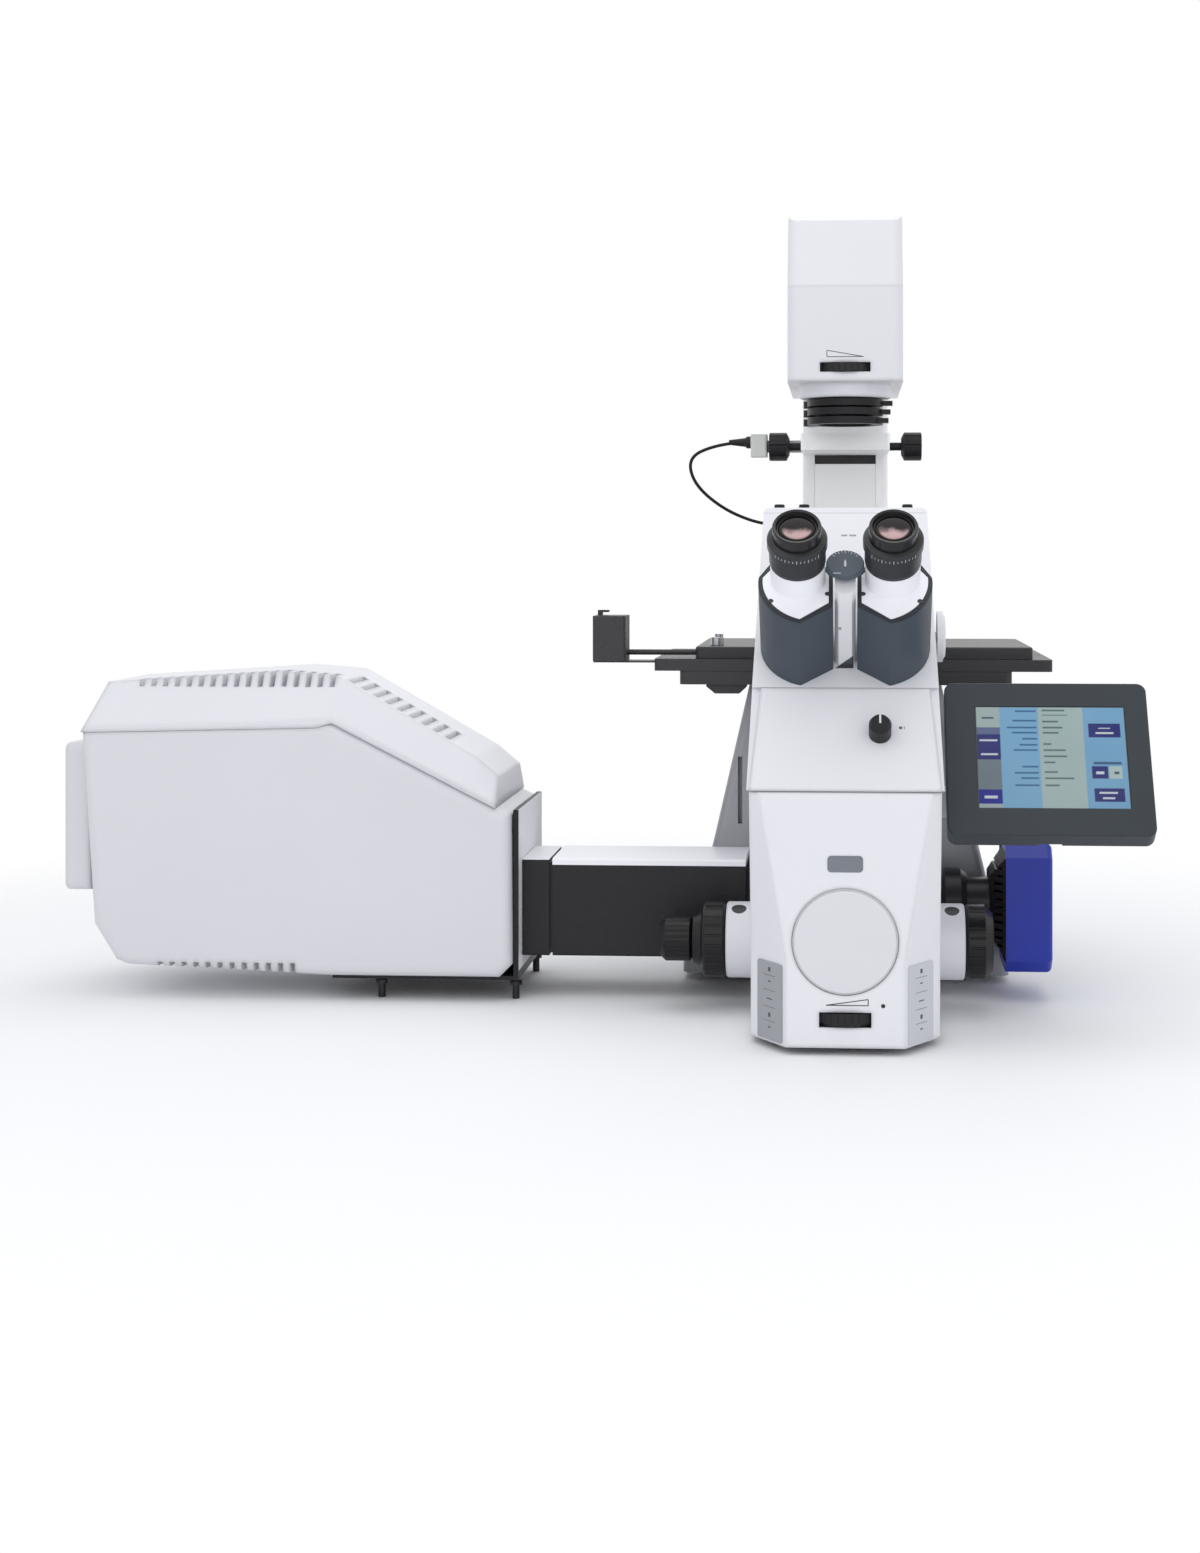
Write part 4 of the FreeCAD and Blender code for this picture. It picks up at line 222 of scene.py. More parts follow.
class Finish(Nodes):
    """One material, built node by node on the piece's own coordinates."""

    def __init__(self, name):
        self.material = bpy.data.materials.new(name)
        self.material.use_nodes = True
        super().__init__(self.material.node_tree)
        self.place = self.node("ShaderNodeTexCoord", "Object")
        self.bump = None

    def split(self):
        """The three parts of the position."""
        made = self.node("ShaderNodeSeparateXYZ", "X", {}, {0: self.place}).socket.node
        return tuple(Wire(self, socket) for socket in made.outputs)

    def box(self, low, high):
        """1 between two corners given in the stand's millimetres, and 0 elsewhere."""
        across, depth, height = (part.within(start, end)
                                 for part, start, end in zip(self.split(), stand(*low), stand(*high)))
        return across * depth * height

    def away(self, x, y, z):
        """The distance from a point of the row's metres."""
        return self.node("ShaderNodeVectorMath", "Value", {"operation": "DISTANCE"},
                         {0: self.place, 1: (x, y, z)})

    def along(self, origin, direction):
        """How far the position lies from origin along a unit direction."""
        dot = self.node("ShaderNodeVectorMath", "Value", {"operation": "DOT_PRODUCT"},
                        {0: self.place, 1: tuple(direction)})
        return dot - origin @ direction

    def noise(self, scale, detail=2.0, stretch=None):
        """Cloudy noise from 0 to 1, drawn out into lines where a scale along each axis is given."""
        place = self.place
        if stretch:
            place = self.node("ShaderNodeMapping", "Vector", {}, {0: place, "Scale": stretch})
        return self.node("ShaderNodeTexNoise", 0, {"noise_dimensions": "3D"},
                         {"Vector": place, "Scale": scale, "Detail": detail})

    def cells(self, scale):
        """Distance to the nearest cell point, for pebbled grain."""
        return self.node("ShaderNodeTexVoronoi", "Distance", {"feature": "F1"},
                         {"Vector": self.place, "Scale": scale})

    def blend(self, factor, first, second):
        """A colour between two colours."""
        return self.node("ShaderNodeMix", 2, {"data_type": "RGBA"}, {0: factor, 6: first, 7: second})

    def vary(self, factor, shade, low, high):
        """A colour between two tones of one colour."""
        return self.blend(factor, tint(shade, low), tint(shade, high))

    def soften(self, radius):
        """Shades edges as if they were rounded by a radius in metres."""
        self.bump = self.node("ShaderNodeBevel", "Normal", {"samples": 6}, {"Radius": radius})

    def emboss(self, height, depth):
        """Adds relief of a real depth in metres to the surface."""
        inputs = {"Strength": 1.0, "Distance": depth, "Height": height}
        if self.bump is not None:
            inputs["Normal"] = self.bump
        self.bump = self.node("ShaderNodeBump", "Normal", {}, inputs)

    def shader(self, base, rough, metal=0.0, **fixed):
        """The one shader. Numbers that are the same all over go to its own sockets."""
        inputs = {"Base Color": base, "Roughness": rough, "Metallic": metal}
        inputs.update({key.replace("_", " "): given for key, given in fixed.items()})
        if self.bump is not None:
            inputs["Normal"] = self.bump
        return self.node("ShaderNodeBsdfPrincipled", "BSDF", {}, inputs)

    def close(self, base, rough, metal=0.0, **fixed):
        """Ends the material in one shader."""
        self.end("ShaderNodeOutputMaterial", self.shader(base, rough, metal, **fixed))
        return self.material


class Shape:
    """Vertices and faces gathered from several surfaces, each a grid of two parameters, for one piece."""

    def __init__(self):
        self.points = []
        self.faces = []
        self.count = 0

    def grid(self, points, closed_columns=False, first_cap=False, last_cap=False):
        """A grid of points, rows by columns, joined by quads. Closed columns join each row's end to its
        start, and a cap fills the first or last row."""
        rows, columns = points.shape[:2]
        index = self.count + np.arange(rows * columns).reshape(rows, columns)
        after = np.roll(index, -1, 1)
        quads = np.stack([index[:-1], after[:-1], after[1:], index[1:]], 2)
        if not closed_columns:
            quads = quads[:, :-1]
        self.faces += quads.reshape(-1, 4).tolist()
        if first_cap:
            self.faces.append(index[0][::-1].tolist())
        if last_cap:
            self.faces.append(index[-1].tolist())
        self.points.append(points.reshape(-1, 3))
        self.count += rows * columns
        return self

    def turned(self, profile, centre, axis, steps):
        """A profile of (radius, height) pairs turned about a unit axis: centre + height times the axis
        + radius times the unit circle across it."""
        profile = np.array(profile) / PER_METRE
        side = unit(np.cross(UPRIGHT if abs(axis[2]) < 0.9 else RIGHT, axis))
        other = np.cross(axis, side)
        angle = np.arange(steps) * 2 * math.pi / steps
        circle = np.cos(angle)[:, None] * side + np.sin(angle)[:, None] * other
        points = centre + profile[:, 1, None, None] * axis + profile[:, 0, None, None] * circle
        return self.grid(points, closed_columns=True, first_cap=True, last_cap=True)

    def plate(self, outline, face, thick):
        """An outline of (across, up) pairs in millimetres on a face, which is its origin and these two
        directions. It is carried from just under the face to its thickness, with a narrow bevel."""
        origin, across, up = face
        outline = np.array(outline) / PER_METRE
        bevel = min(thick, WIDEST_BEVEL) / 3
        rings = np.stack([outline, outline, inset(outline, bevel / PER_METRE)])
        heights = (np.array([-PLATE_ROOT, thick * 0.7, thick]) / PER_METRE)[:, None, None]
        points = origin + rings[:, :, :1] * across + rings[:, :, 1:] * up + heights * np.cross(across, up)
        return self.grid(points, closed_columns=True, first_cap=True, last_cap=True)

    def bar(self, across, up, wide, high, face, thick):
        """A printed bar by its middle and its size, as a plate whose corners go round from the lower left."""
        left, right, low, high = across - wide / 2, across + wide / 2, up - high / 2, up + high / 2
        return self.plate([(left, low), (right, low), (right, high), (left, high)], face, thick)

    def wedge(self, left, right, low, high, face, thick):
        """The printed sign for brighter: a rising wedge drawn as three lines, each a thin plate."""
        corners = np.array([(left, low), (right, low), (right, high)])
        for first, last in zip(corners, np.roll(corners, -1, 0)):
            along = unit(last - first)
            side = np.array([-along[1], along[0]]) * SIGN_LINE / 2
            self.plate([first - side, last - side, last + side, first + side], face, thick)
        return self

    def made(self, name, material):
        """Turns what was gathered into one object in its place, with its material."""
        mesh = bpy.data.meshes.new(name)
        mesh.from_pydata(np.concatenate(self.points).tolist(), [], self.faces)
        mesh.update()
        mesh.materials.append(material)
        made = bpy.data.objects.new(name, mesh)
        bpy.context.scene.collection.objects.link(made)
        return made

    def piece(self, name, material, body):
        """One object that moves with a body."""
        made = self.made(name, material)
        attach(made, body)
        return made


def unit(directions):
    """One direction, or rows of them, at unit length."""
    return directions / np.linalg.norm(directions, axis=-1, keepdims=True)


def inset(outline, distance):
    """An outline moved inwards: each corner moves along the mean of its two edges' inward normals."""
    edges = unit(outline - np.roll(outline, 1, 0)) + unit(np.roll(outline, -1, 0) - outline)
    return outline + unit(np.stack([-edges[:, 1], edges[:, 0]], 1)) * distance


def disc_outline(across, up, radius, steps=24):
    """A circle as an outline: the centre plus radius times the unit circle."""
    angle = np.arange(steps) * 2 * math.pi / steps
    return np.stack([across + radius * np.cos(angle), up + radius * np.sin(angle)], 1)


def round_bar_outline(left, low, right, high, radius, steps=6):
    """A rectangle with round corners: each corner's circle is drawn through a quarter turn."""
    angle = np.linspace(0, math.pi / 2, steps)
    corners = []
    for number, (x, y) in enumerate([(right - radius, low + radius), (right - radius, high - radius),
                                     (left + radius, high - radius), (left + radius, low + radius)]):
        turned = angle + (number - 1) * math.pi / 2
        corners.append(np.stack([x + radius * np.cos(turned), y + radius * np.sin(turned)], 1))
    return np.concatenate(corners)


def reach(node, direction):
    """How far a CAD node reaches along a direction, in metres."""
    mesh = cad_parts[node].data
    points = np.empty(len(mesh.vertices) * 3)
    mesh.vertices.foreach_get("co", points)
    return (points.reshape(-1, 3) @ direction).max()


def dress(material, *nodes):
    """Gives CAD nodes a finish."""
    for name in nodes:
        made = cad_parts[name]
        if not made.material_slots:
            made.data.materials.append(material)
        for slot in made.material_slots:
            slot.material = material


def tint(shade, factor):
    """A colour made lighter or darker."""
    return tuple(min(1.0, part * factor) for part in shade)


def enamel(name, shade, marks=None, shaded_seams=(), edge=0.0):
    """Powder-coated cover: orange peel a millimetre wide, faint clouds in tone and gloss, painted shade
    along the seams between parts, soft edges, and printed or recessed marks where a mask is given."""
    finish = Finish(name)
    if edge:
        finish.soften(edge)
    cloud = finish.noise(scale=7.0, detail=3.0)
    peel = finish.noise(scale=850.0)
    base = finish.vary(cloud, shade, 0.965, 1.02)
    height = finish.split()[2]
    # A darker line is painted along each seam: painted shade in the gap between the parts that meet there.
    for level, width in shaded_seams:
        outer = width / PER_METRE
        line = abs(height - level / PER_METRE).step(outer, outer * 0.4)
        base = finish.blend(line * 0.75, base, tint(shade, 0.35))
    if marks:
        base = marks(finish, base)
    finish.emboss(peel, depth=0.00003)
    finish.emboss(cloud, depth=0.0002)
    rough = cloud * 0.10 + peel * 0.06 + 0.34
    return finish.close(base, rough, Coat_Weight=0.12, Coat_Roughness=0.25)


def port_groove_shade(finish, base):
    """A grey ring painted round the front port on the groove's floor: painted shade in the groove."""
    x, y, z = finish.split()
    across, up = x - AXIS_X, z - PORT_HEIGHT / PER_METRE
    around = (across * across + up * up).maths("SQRT")
    inner, outer = PORT_RING
    front = y < stand(0, FRONT_FACE + 10, 0)[1]
    # The groove floor round the port is painted grey as painted shade.
    groove_shade = around.within(inner / PER_METRE, outer / PER_METRE) * front
    return finish.blend(groove_shade, base, colour(176, 180, 184))


def head_marks(finish, base):
    """The head block's small marks: a faint line near its top, two grey dashes above the disc, and on
    the spine a grey dot and, at its foot, a painted shadow: dark grey in a notch that rises to the right."""
    x, _, z = finish.split()
    grey = colour(120, 124, 130)
    line = abs(z - HEAD_LINE / PER_METRE).step(0.0006, 0.0003)
    base = finish.blend(line * 0.3, base, grey)
    dashes_and_dot = (-3.5, 1.8, 408.7, 410.3), (3.4, 9.5, 408.7, 410.3), (-5.5, -3.0, 332.7, 335.0)
    for left, right, low, high in dashes_and_dot:
        base = finish.blend(finish.box((left, -FAR, low), (right, FAR, high)) * 0.8, base, grey)
    # Painted shadow at the spine's foot between the tube covers: dark grey below a line that rises to the
    # right.
    (left, low), slope = SPINE_FOOT, 0.72
    rising = z < (x - stand(left, 0, 0)[0]) * slope + low / PER_METRE
    foot_shadow = finish.box((left, -FAR, low), (left + SPINE_SHADOW_WIDE, FAR, FAR)) * rising
    return finish.blend(foot_shadow, base, colour(66, 72, 80))


def bracket_side(finish, base):
    """White paint on the outer face of the bracket, brighter than the enamel as painted light against the
    shade on that face; its front edge and its foot stay black.
    """
    return finish.blend(finish.box(BRACKET_FACE, (FAR, FAR, FAR)), base, colour(244, 244, 248))


def flange_top(finish, base):
    """White paint on top of the coupling's end flange."""
    edge, top = FLANGE_TOP
    return finish.blend(finish.box((-FAR, -FAR, top), (edge, FAR, FAR)), base, colour(238, 238, 242))


def collar_holes(finish, base):
    """Painted shade of the locking holes near the top of the white drive collars, as dark discs."""
    across, depth, height = COLLAR_HOLE
    for side in (-across, across):
        hole_shade = finish.away(*stand(side, depth, height)).step(0.0068, 0.0060)
        base = finish.blend(hole_shade, base, colour(30, 31, 34))
    return base


def cast_metal(name, shade):
    """Painted sand casting: pebbled relief, larger swells and slightly rubbed high spots."""
    finish = Finish(name)
    pebble = finish.cells(scale=420.0)
    swell = finish.noise(scale=24.0, detail=3.0)
    base = finish.vary(swell, shade, 0.92, 1.06)
    base = finish.blend(pebble * 0.5, tint(shade, 1.05), base)
    finish.emboss(pebble, depth=0.00008)
    finish.emboss(swell, depth=0.0003)
    return finish.close(base, rough=swell * 0.12 + 0.36, metal=0.25)


def moulded(name, shade, grain=900.0, depth=0.00004, rough=0.4, marks=None):
    """Moulded plastic with a spark-eroded grain, a little shine on the tops of the grain and faint clouds."""
    finish = Finish(name)
    pits = finish.cells(scale=grain)
    cloud = finish.noise(scale=11.0, detail=3.0)
    base = finish.vary(cloud, shade, 0.9, 1.08)
    if marks:
        base = marks(finish, base)
    finish.emboss(pits, depth)
    return finish.close(base, cloud * 0.12 + pits * 0.1 + rough - 0.08, Specular_IOR_Level=0.3)


def anodised(name, shade, stretch=(1, 1, 1), rough=0.4):
    """Anodised aluminium: fine lines drawn along one axis, satin gloss and dye clouds."""
    finish = Finish(name)
    lines = finish.noise(scale=600.0, detail=3.0, stretch=stretch)
    cloud = finish.noise(scale=9.0)
    base = finish.vary(lines * 0.6 + cloud * 0.4, shade, 0.82, 1.2)
    finish.emboss(lines, depth=0.00002)
    return finish.close(base, lines * 0.12 + rough - 0.04, metal=0.35, Specular_IOR_Level=0.35)


def polished(name, shade, rough=0.2):
    """Chromed or nickelled brass: near mirror with fine polishing haze."""
    finish = Finish(name)
    haze = finish.noise(scale=160.0, detail=4.0)
    base = finish.vary(haze, shade, 0.93, 1)
    finish.emboss(haze, depth=0.000004)
    return finish.close(base, haze * 0.1 + rough, metal=1.0)


def rubber(name, shade):
    """Matt rubber with dusty clouds and a fine tooth."""
    finish = Finish(name)
    tooth = finish.noise(scale=1500.0)
    dust = finish.noise(scale=35.0, detail=4.0)
    base = finish.vary(dust * 0.5, shade, 1, 1.8)
    finish.emboss(tooth, depth=0.00004)
    return finish.close(base, rough=dust * 0.15 + 0.66, Specular_IOR_Level=0.3)


def dark_glass(name, shade):
    """Coated glass: a deep colour under a clear face, with a second tint in the coating's clouds."""
    finish = Finish(name)
    film = finish.noise(scale=30.0)
    red, green, blue = shade
    base = finish.blend(film, shade, (red * 1.8, green, blue * 1.5))
    return finish.close(base, rough=film * 0.03 + 0.04, Coat_Weight=1.0, Coat_Roughness=0.02, IOR=1.6)


def eye_glass(name):
    """Coated eye lens: a black rim, and a painted reflection of the coating, wine-dark in the upper half with
    a pale rose bloom in the lower half.
    """
    finish = Finish(name)
    up = finish.along(stand(*EYE_LENS), RISE)
    cloud = finish.noise(scale=90.0, detail=3.0)
    # Painted reflection: dark in the upper half of the lens and pale rose in the lower half.
    painted_reflection = (up * -1 + cloud * 0.012).step(0.005, 0.0135)
    base = finish.blend(painted_reflection, colour(16, 7, 11), colour(196, 166, 166))
    left, right = (finish.away(*on_tilt(across, 0, 0)) for across in (-EYE_OFFSET, EYE_OFFSET))
    rim = left.maths("MINIMUM", right).step(0.0108, 0.0128)
    base = finish.blend(rim, base, colour(14, 12, 14))
    return finish.close(base, rough=cloud * 0.04 + 0.06, Specular_IOR_Level=0.25, IOR=1.4)


def ink(name, shade):
    """Screen-printed ink, slightly uneven in its cover."""
    finish = Finish(name)
    cover = finish.noise(scale=700.0)
    base = finish.vary(cover, shade, 0.85, 1.15)
    finish.emboss(cover, depth=0.00001)
    return finish.close(base, rough=cover * 0.1 + 0.42)


def shade_setting(name, description, *default):
    """A colour setting, whose default is an 8-bit screen colour."""
    return bpy.props.FloatVectorProperty(
        name=name, description=description, subtype="COLOR", default=colour(*default), min=0, max=1)


def size_setting(name, description, default, low, high):
    """A length setting in metres."""
    return bpy.props.FloatProperty(name=name, description=description, default=default, min=low, max=high,
                                   subtype="DISTANCE", unit="LENGTH")


class MicroscopeColours(bpy.types.PropertyGroup):
    """The colours of the microscope's finishes."""

    enamel: shade_setting("Enamel", "White covers of the stand and the light arm", 228, 228, 233)
    scanner: shade_setting("Scan head", "Covers of the scan head", 216, 216, 221)
    casting: shade_setting("Casting", "Silver casting behind the front column", 152, 153, 158)
    slate: shade_setting("Slate covers", "Covers of the eye tubes", 66, 74, 84)
    bezel: shade_setting("Display housing", "Housing of the display", 49, 55, 61)
    stage: shade_setting("Specimen stage", "Anodised plates of the specimen stage", 58, 58, 60)
    knob: shade_setting("Knobs", "Black knobs, wheels and eyepieces", 28, 28, 31)
    blue: shade_setting("Camera", "Blue shell of the camera", 0, 38, 160)
    strip: shade_setting("Control strips", "Grey control strips beside the front column", 190, 192, 198)
    floor: shade_setting("Floor", "Plain floor under the microscope", 250, 250, 251)


class MicroscopeSizes(bpy.types.PropertyGroup):
    """The sizes of the small pieces."""

    print_height: size_setting("Print", "Thickness of printed marks", 0.00008, 0.00002, 0.0005)
    screw_radius: size_setting("Flange screws", "Radius of the eye tubes' screws", 0.0021, 0.001, 0.004)
    lens_radius: size_setting("Eye lenses", "Radius of the eye lenses", 0.0152, 0.008, 0.0156)
    cable_radius: size_setting("Cable", "Radius of the sensor pod's cable", 0.0016, 0.001, 0.002)


def colours():
    """The scene's colours by name."""
    group = bpy.context.scene.microscope_colours
    return {name: tuple(getattr(group, name)) for name in group.__annotations__}


def sizes():
    """The scene's sizes by name, in millimetres."""
    group = bpy.context.scene.microscope_sizes
    return {name: getattr(group, name) * PER_METRE for name in group.__annotations__}


class StandFinish(bpy.types.Operator):
    """Paint the stand: column cover, leaning panel, casting, port cap, control strips and their marks"""

    bl_idname = "microscope.stand"
    bl_label = "Stand"

    def execute(self, context):
        shades = colours()
        thick = sizes()["print_height"]
        dress(enamel("column_enamel", shades["enamel"], port_groove_shade, shaded_seams=((COLUMN_TOP, 0.9),), edge=0.006),
              "column_shell", "front_panel")
        dress(enamel("cap_enamel", tint(shades["enamel"], 0.9)), "port_cap")
        dress(enamel("head_enamel", shades["enamel"], head_marks, shaded_seams=((HEAD_FOOT, 0.8),)), "tube_head")
        dress(cast_metal("casting_paint", shades["casting"]), "base_casting")
        dress(rubber("foot_rubber", colour(28, 28, 30)), "base_feet")
        dress(enamel("collar_enamel", tint(shades["enamel"], 0.97), collar_holes), "drive_collars")
        # The two control strips are one grey: painted darker on the left as painted shade and lighter on the
        # right as painted light.
        dress(moulded("left_strip", tint(shades["strip"], 0.68), **COARSE), "keypad_left")
        dress(moulded("right_strip", tint(shades["strip"], 1.12), **COARSE), "keypad_right")
        printed = ink("grey_print", colour(72, 75, 80))
        front = stand(0, FRONT_FACE, 0), RIGHT, UPRIGHT
        Shape().wedge(-15, 18, 39.6, 44.4, front, thick).piece("column_signs", printed, "stand")
        dot = Shape().plate(disc_outline(29.7, 39.4, 1.7), front, thick)
        dot.piece("column_dot", ink("dark_print", colour(30, 30, 34)), "stand")
        plate = Shape().plate(round_bar_outline(-14, 144, 14, 157, 3), front, 0.5)
        steel = anodised("nameplate", colour(120, 124, 132), stretch=(0.1, 1, 1), rough=0.36)
        plate.piece("blank_nameplate", steel, "stand")
        for side, name in ((-1, "left"), (1, "right")):
            self.strip_marks(side, thick).piece(name + "_strip_marks", printed, "stand")
        return {"FINISHED"}

    def strip_marks(self, side, thick):
        """Five printed signs and the four lines between them, on one corner chamfer's control strip."""
        middle, edge, strip_thick = 22.5, 47, 1.2
        wide, deep = (leg / math.hypot(*CHAMFER) for leg in CHAMFER)
        out = np.array([side * deep, -wide, 0.0])
        origin = stand(side * (edge + middle * wide), FRONT_FACE + middle * deep, 0)
        face = origin + out * strip_thick / PER_METRE, np.cross(UPRIGHT, out), UPRIGHT
        signs = [(64, 3.4, 3.4), (54.5, 3.4, 1.2), (40.6, 8, 0.9), (27.9, 3.4, 3.4), (18.2, 3.4, 1.2)]
        lines = [(up, 17, 0.35) for up in (59.2, 47.5, 34.2, 23)]
        marks = Shape()
        for up, long, high in signs + lines:
            marks.bar(0, up, long, high, face, thick)
        return marks


class FocusFinish(bpy.types.Operator):
    """Finish the focus knobs, the selector knob, the wheels and the condenser's knobs"""

    bl_idname = "microscope.controls"
    bl_label = "Knobs and wheels"

    def execute(self, context):
        shades = colours()
        thick = sizes()["print_height"]
        black = moulded("knob_black", shades["knob"], rough=0.42)
        dress(black, "selector_knob", "brightness_wheel", "head_wheel", "condenser_knobs")
        dress(moulded("drive_black", tint(shades["knob"], 0.55), grain=1300.0, depth=0.00002, rough=0.32),
              "coarse_knobs", "fine_knob")
        dress(enamel("wheel_enamel", tint(shades["enamel"], 0.98)), "side_wheel")
        run, rise = PANEL
        lean = unit(np.array([0, run, rise]))
        out = np.cross(RIGHT, lean)
        above_foot = 43
        knob = stand(27.7, FRONT_FACE + above_foot * run / rise, 250)
        on_top = knob + out * (reach("selector_knob", out) - knob @ out)
        pointer = Shape().bar(0, 3.6, 1.6, 9.2, (on_top, RIGHT, lean), thick + 0.1)
        pointer.piece("selector_pointer", ink("pale_print", colour(214, 216, 220)), "selector")
        marks = Shape()
        bars = ((0, 15.5, 3.4, 0.6), (0, 17.2, 2, 0.6), (0, 14.2, 0.7, 1.4), (16.5, 6, 2.6, 2.6),
                (19.4, 6, 0.6, 2.6))
        for across, up, wide, high in bars:
            marks.bar(across, up, wide, high, (knob, RIGHT, lean), thick)
        marks.piece("selector_signs", ink("panel_print", colour(96, 98, 104)), "stand")
        return {"FINISHED"}


class HeadFinish(bpy.types.Operator):
    """Finish the binocular head: slate covers, white tubes, screws, pupil disc and the caps on its top"""

    bl_idname = "microscope.head"
    bl_label = "Binocular head"

    def execute(self, context):
        shades = colours()
        thick, screw = sizes()["print_height"], sizes()["screw_radius"]
        # The eye tubes use a lighter copy of the white enamel: painted light that offsets their shade.
        dress(enamel("tube_enamel", tint(shades["enamel"], 1.16)), "left_tube", "right_tube")
        dress(self.cover(shades["slate"]), "left_tube_cover", "right_tube_cover")
        dress(moulded("disc_slate", colour(80, 89, 99), grain=1000.0, rough=0.45), "pupil_disc")
        steel = anodised("screw_steel", colour(70, 71, 74), rough=0.3)
        profile = [(screw, -0.6), (screw, 0.35), (screw * 0.85, 0.7), (screw * 0.5, 0.7), (screw * 0.46, 0.2)]
        for side, name in ((-1, "left"), (1, "right")):
            screws = Shape()
            for across, up in ((59.2, -24.1), (14.2, -16.2)):
                screws.turned(profile, on_tilt(side * across, up, FLANGE_LEVEL), TILT, steps=24)
            screws.piece(name + "_flange_screws", steel, name + "_eye")
        self.scale(thick).piece("pupil_disc_marks", ink("disc_print", colour(196, 202, 208)), "left_eye")
        top = reach("tube_head", UPRIGHT) * PER_METRE
        profile = [(4.6, -0.8), (4.6, 2.0), (4.2, 2.8), (3.0, 3.1)]
        caps = Shape()
        for across in (-57.7, -36, 54.4):
            caps.turned(profile, stand(across, HEAD_CAPS, top), UPRIGHT, steps=32)
        caps.piece("head_cap_screws", moulded("cap_black", shades["knob"], **COARSE), "stand")
        return {"FINISHED"}

    def scale(self, thick):
        """The disc's printed scale: nine lines in an arc, an arrow and a dash."""
        marks = Shape()
        face = on_tilt(0, 0, DISC_LEVEL), RIGHT, RISE
        rim, half, apart = 13.9, 0.25, 12
        for number in range(-4, 5):
            angle = math.radians(90 + number * apart)
            outward = np.array([math.cos(angle), math.sin(angle)])
            side = np.array([-outward[1], outward[0]]) * half
            inner, outer = outward * (rim - (2.6 if number % 2 == 0 else 1.5)), outward * rim
            marks.plate([inner + side, inner - side, outer - side, outer + side], face, thick)
        marks.plate([(-0.9, -3.6), (0.9, -3.6), (0.9, 1.6), (0, 4.2), (-0.9, 1.6)], face, thick)
        return marks.bar(-6.5, -11.2, 6, 0.8, face, thick)

    def cover(self, shade):
        """Slate plastic whose rim round the flange is darker, as a thin gasket is."""
        finish = Finish("cover_slate")
        grain = finish.cells(scale=1000.0)
        cloud = finish.noise(scale=9.0, detail=3.0)
        base = finish.vary(cloud, shade, 0.9, 1.1)
        rim = finish.along(stand(*EYE_LENS), TILT).step(-0.0600, -0.0585)
        base = finish.blend(rim * 0.8, base, colour(30, 33, 38))
        finish.emboss(grain, depth=0.00005)
        return finish.close(base, rough=cloud * 0.1 + grain * 0.1 + 0.4, Specular_IOR_Level=0.3)


class EyepieceFinish(bpy.types.Operator):
    """Finish the eyepieces and set the coated eye lenses and scale marks"""

    bl_idname = "microscope.eyepieces"
    bl_label = "Eyepieces"

    def execute(self, context):
        shades = colours()
        thick = sizes()["print_height"]
        dress(self.barrel(shades["knob"]), "left_eyepiece", "right_eyepiece")
        glass = eye_glass("eye_glass")
        scale = ink("scale_print", colour(190, 192, 196))
        for across, name in ((-EYE_OFFSET, "left"), (EYE_OFFSET, "right")):
            body = name + "_ocular"
            lens = Shape().turned(self.dome(sizes()["lens_radius"]), on_tilt(across, 0, 0), TILT, steps=48)
            lens.piece(name + "_eye_lens", glass, body).data.shade_smooth()
            marks = Shape()
            for number in range(-6, 7):
                angle = math.radians(-90 + number * 7.5)
                out = math.cos(angle) * RIGHT + math.sin(angle) * RISE
                origin = on_tilt(across, 0, COLLAR_LEVEL) + out * COLLAR_RADIUS / PER_METRE
                high = 3.2 if number % 3 == 0 else 1.8
                marks.bar(0, 0, 0.5, high, (origin, np.cross(TILT, out), TILT), thick)
            marks.piece(name + "_eyepiece_scale", scale, body)
        return {"FINISHED"}

    def dome(self, radius):
        """The lens's profile: an edge, then height = bottom + rise times the square root of
        1 - (0.9 part of the radius) squared, from the rim almost to the middle."""
        edge, bottom, rise = -1.9, -2.6, 3.4
        parts = np.linspace(1, 0.04, 14)
        return [(radius, edge)] + [(radius * part, bottom + rise * math.sqrt(1 - (0.9 * part) ** 2))
                                   for part in parts]

    def barrel(self, shade):
        """Glossy black eyecup over a charcoal collar."""
        finish = Finish("eyepiece_black")
        collar = finish.along(stand(*EYE_LENS), TILT).step(-0.0095, -0.0105)
        grain = finish.cells(scale=1200.0)
        base = finish.blend(collar, tint(shade, 0.7), colour(40, 42, 46))
        finish.emboss(grain, depth=0.00003)
        return finish.close(base, rough=collar * 0.14 + grain * 0.06 + 0.2, Specular_IOR_Level=0.4)


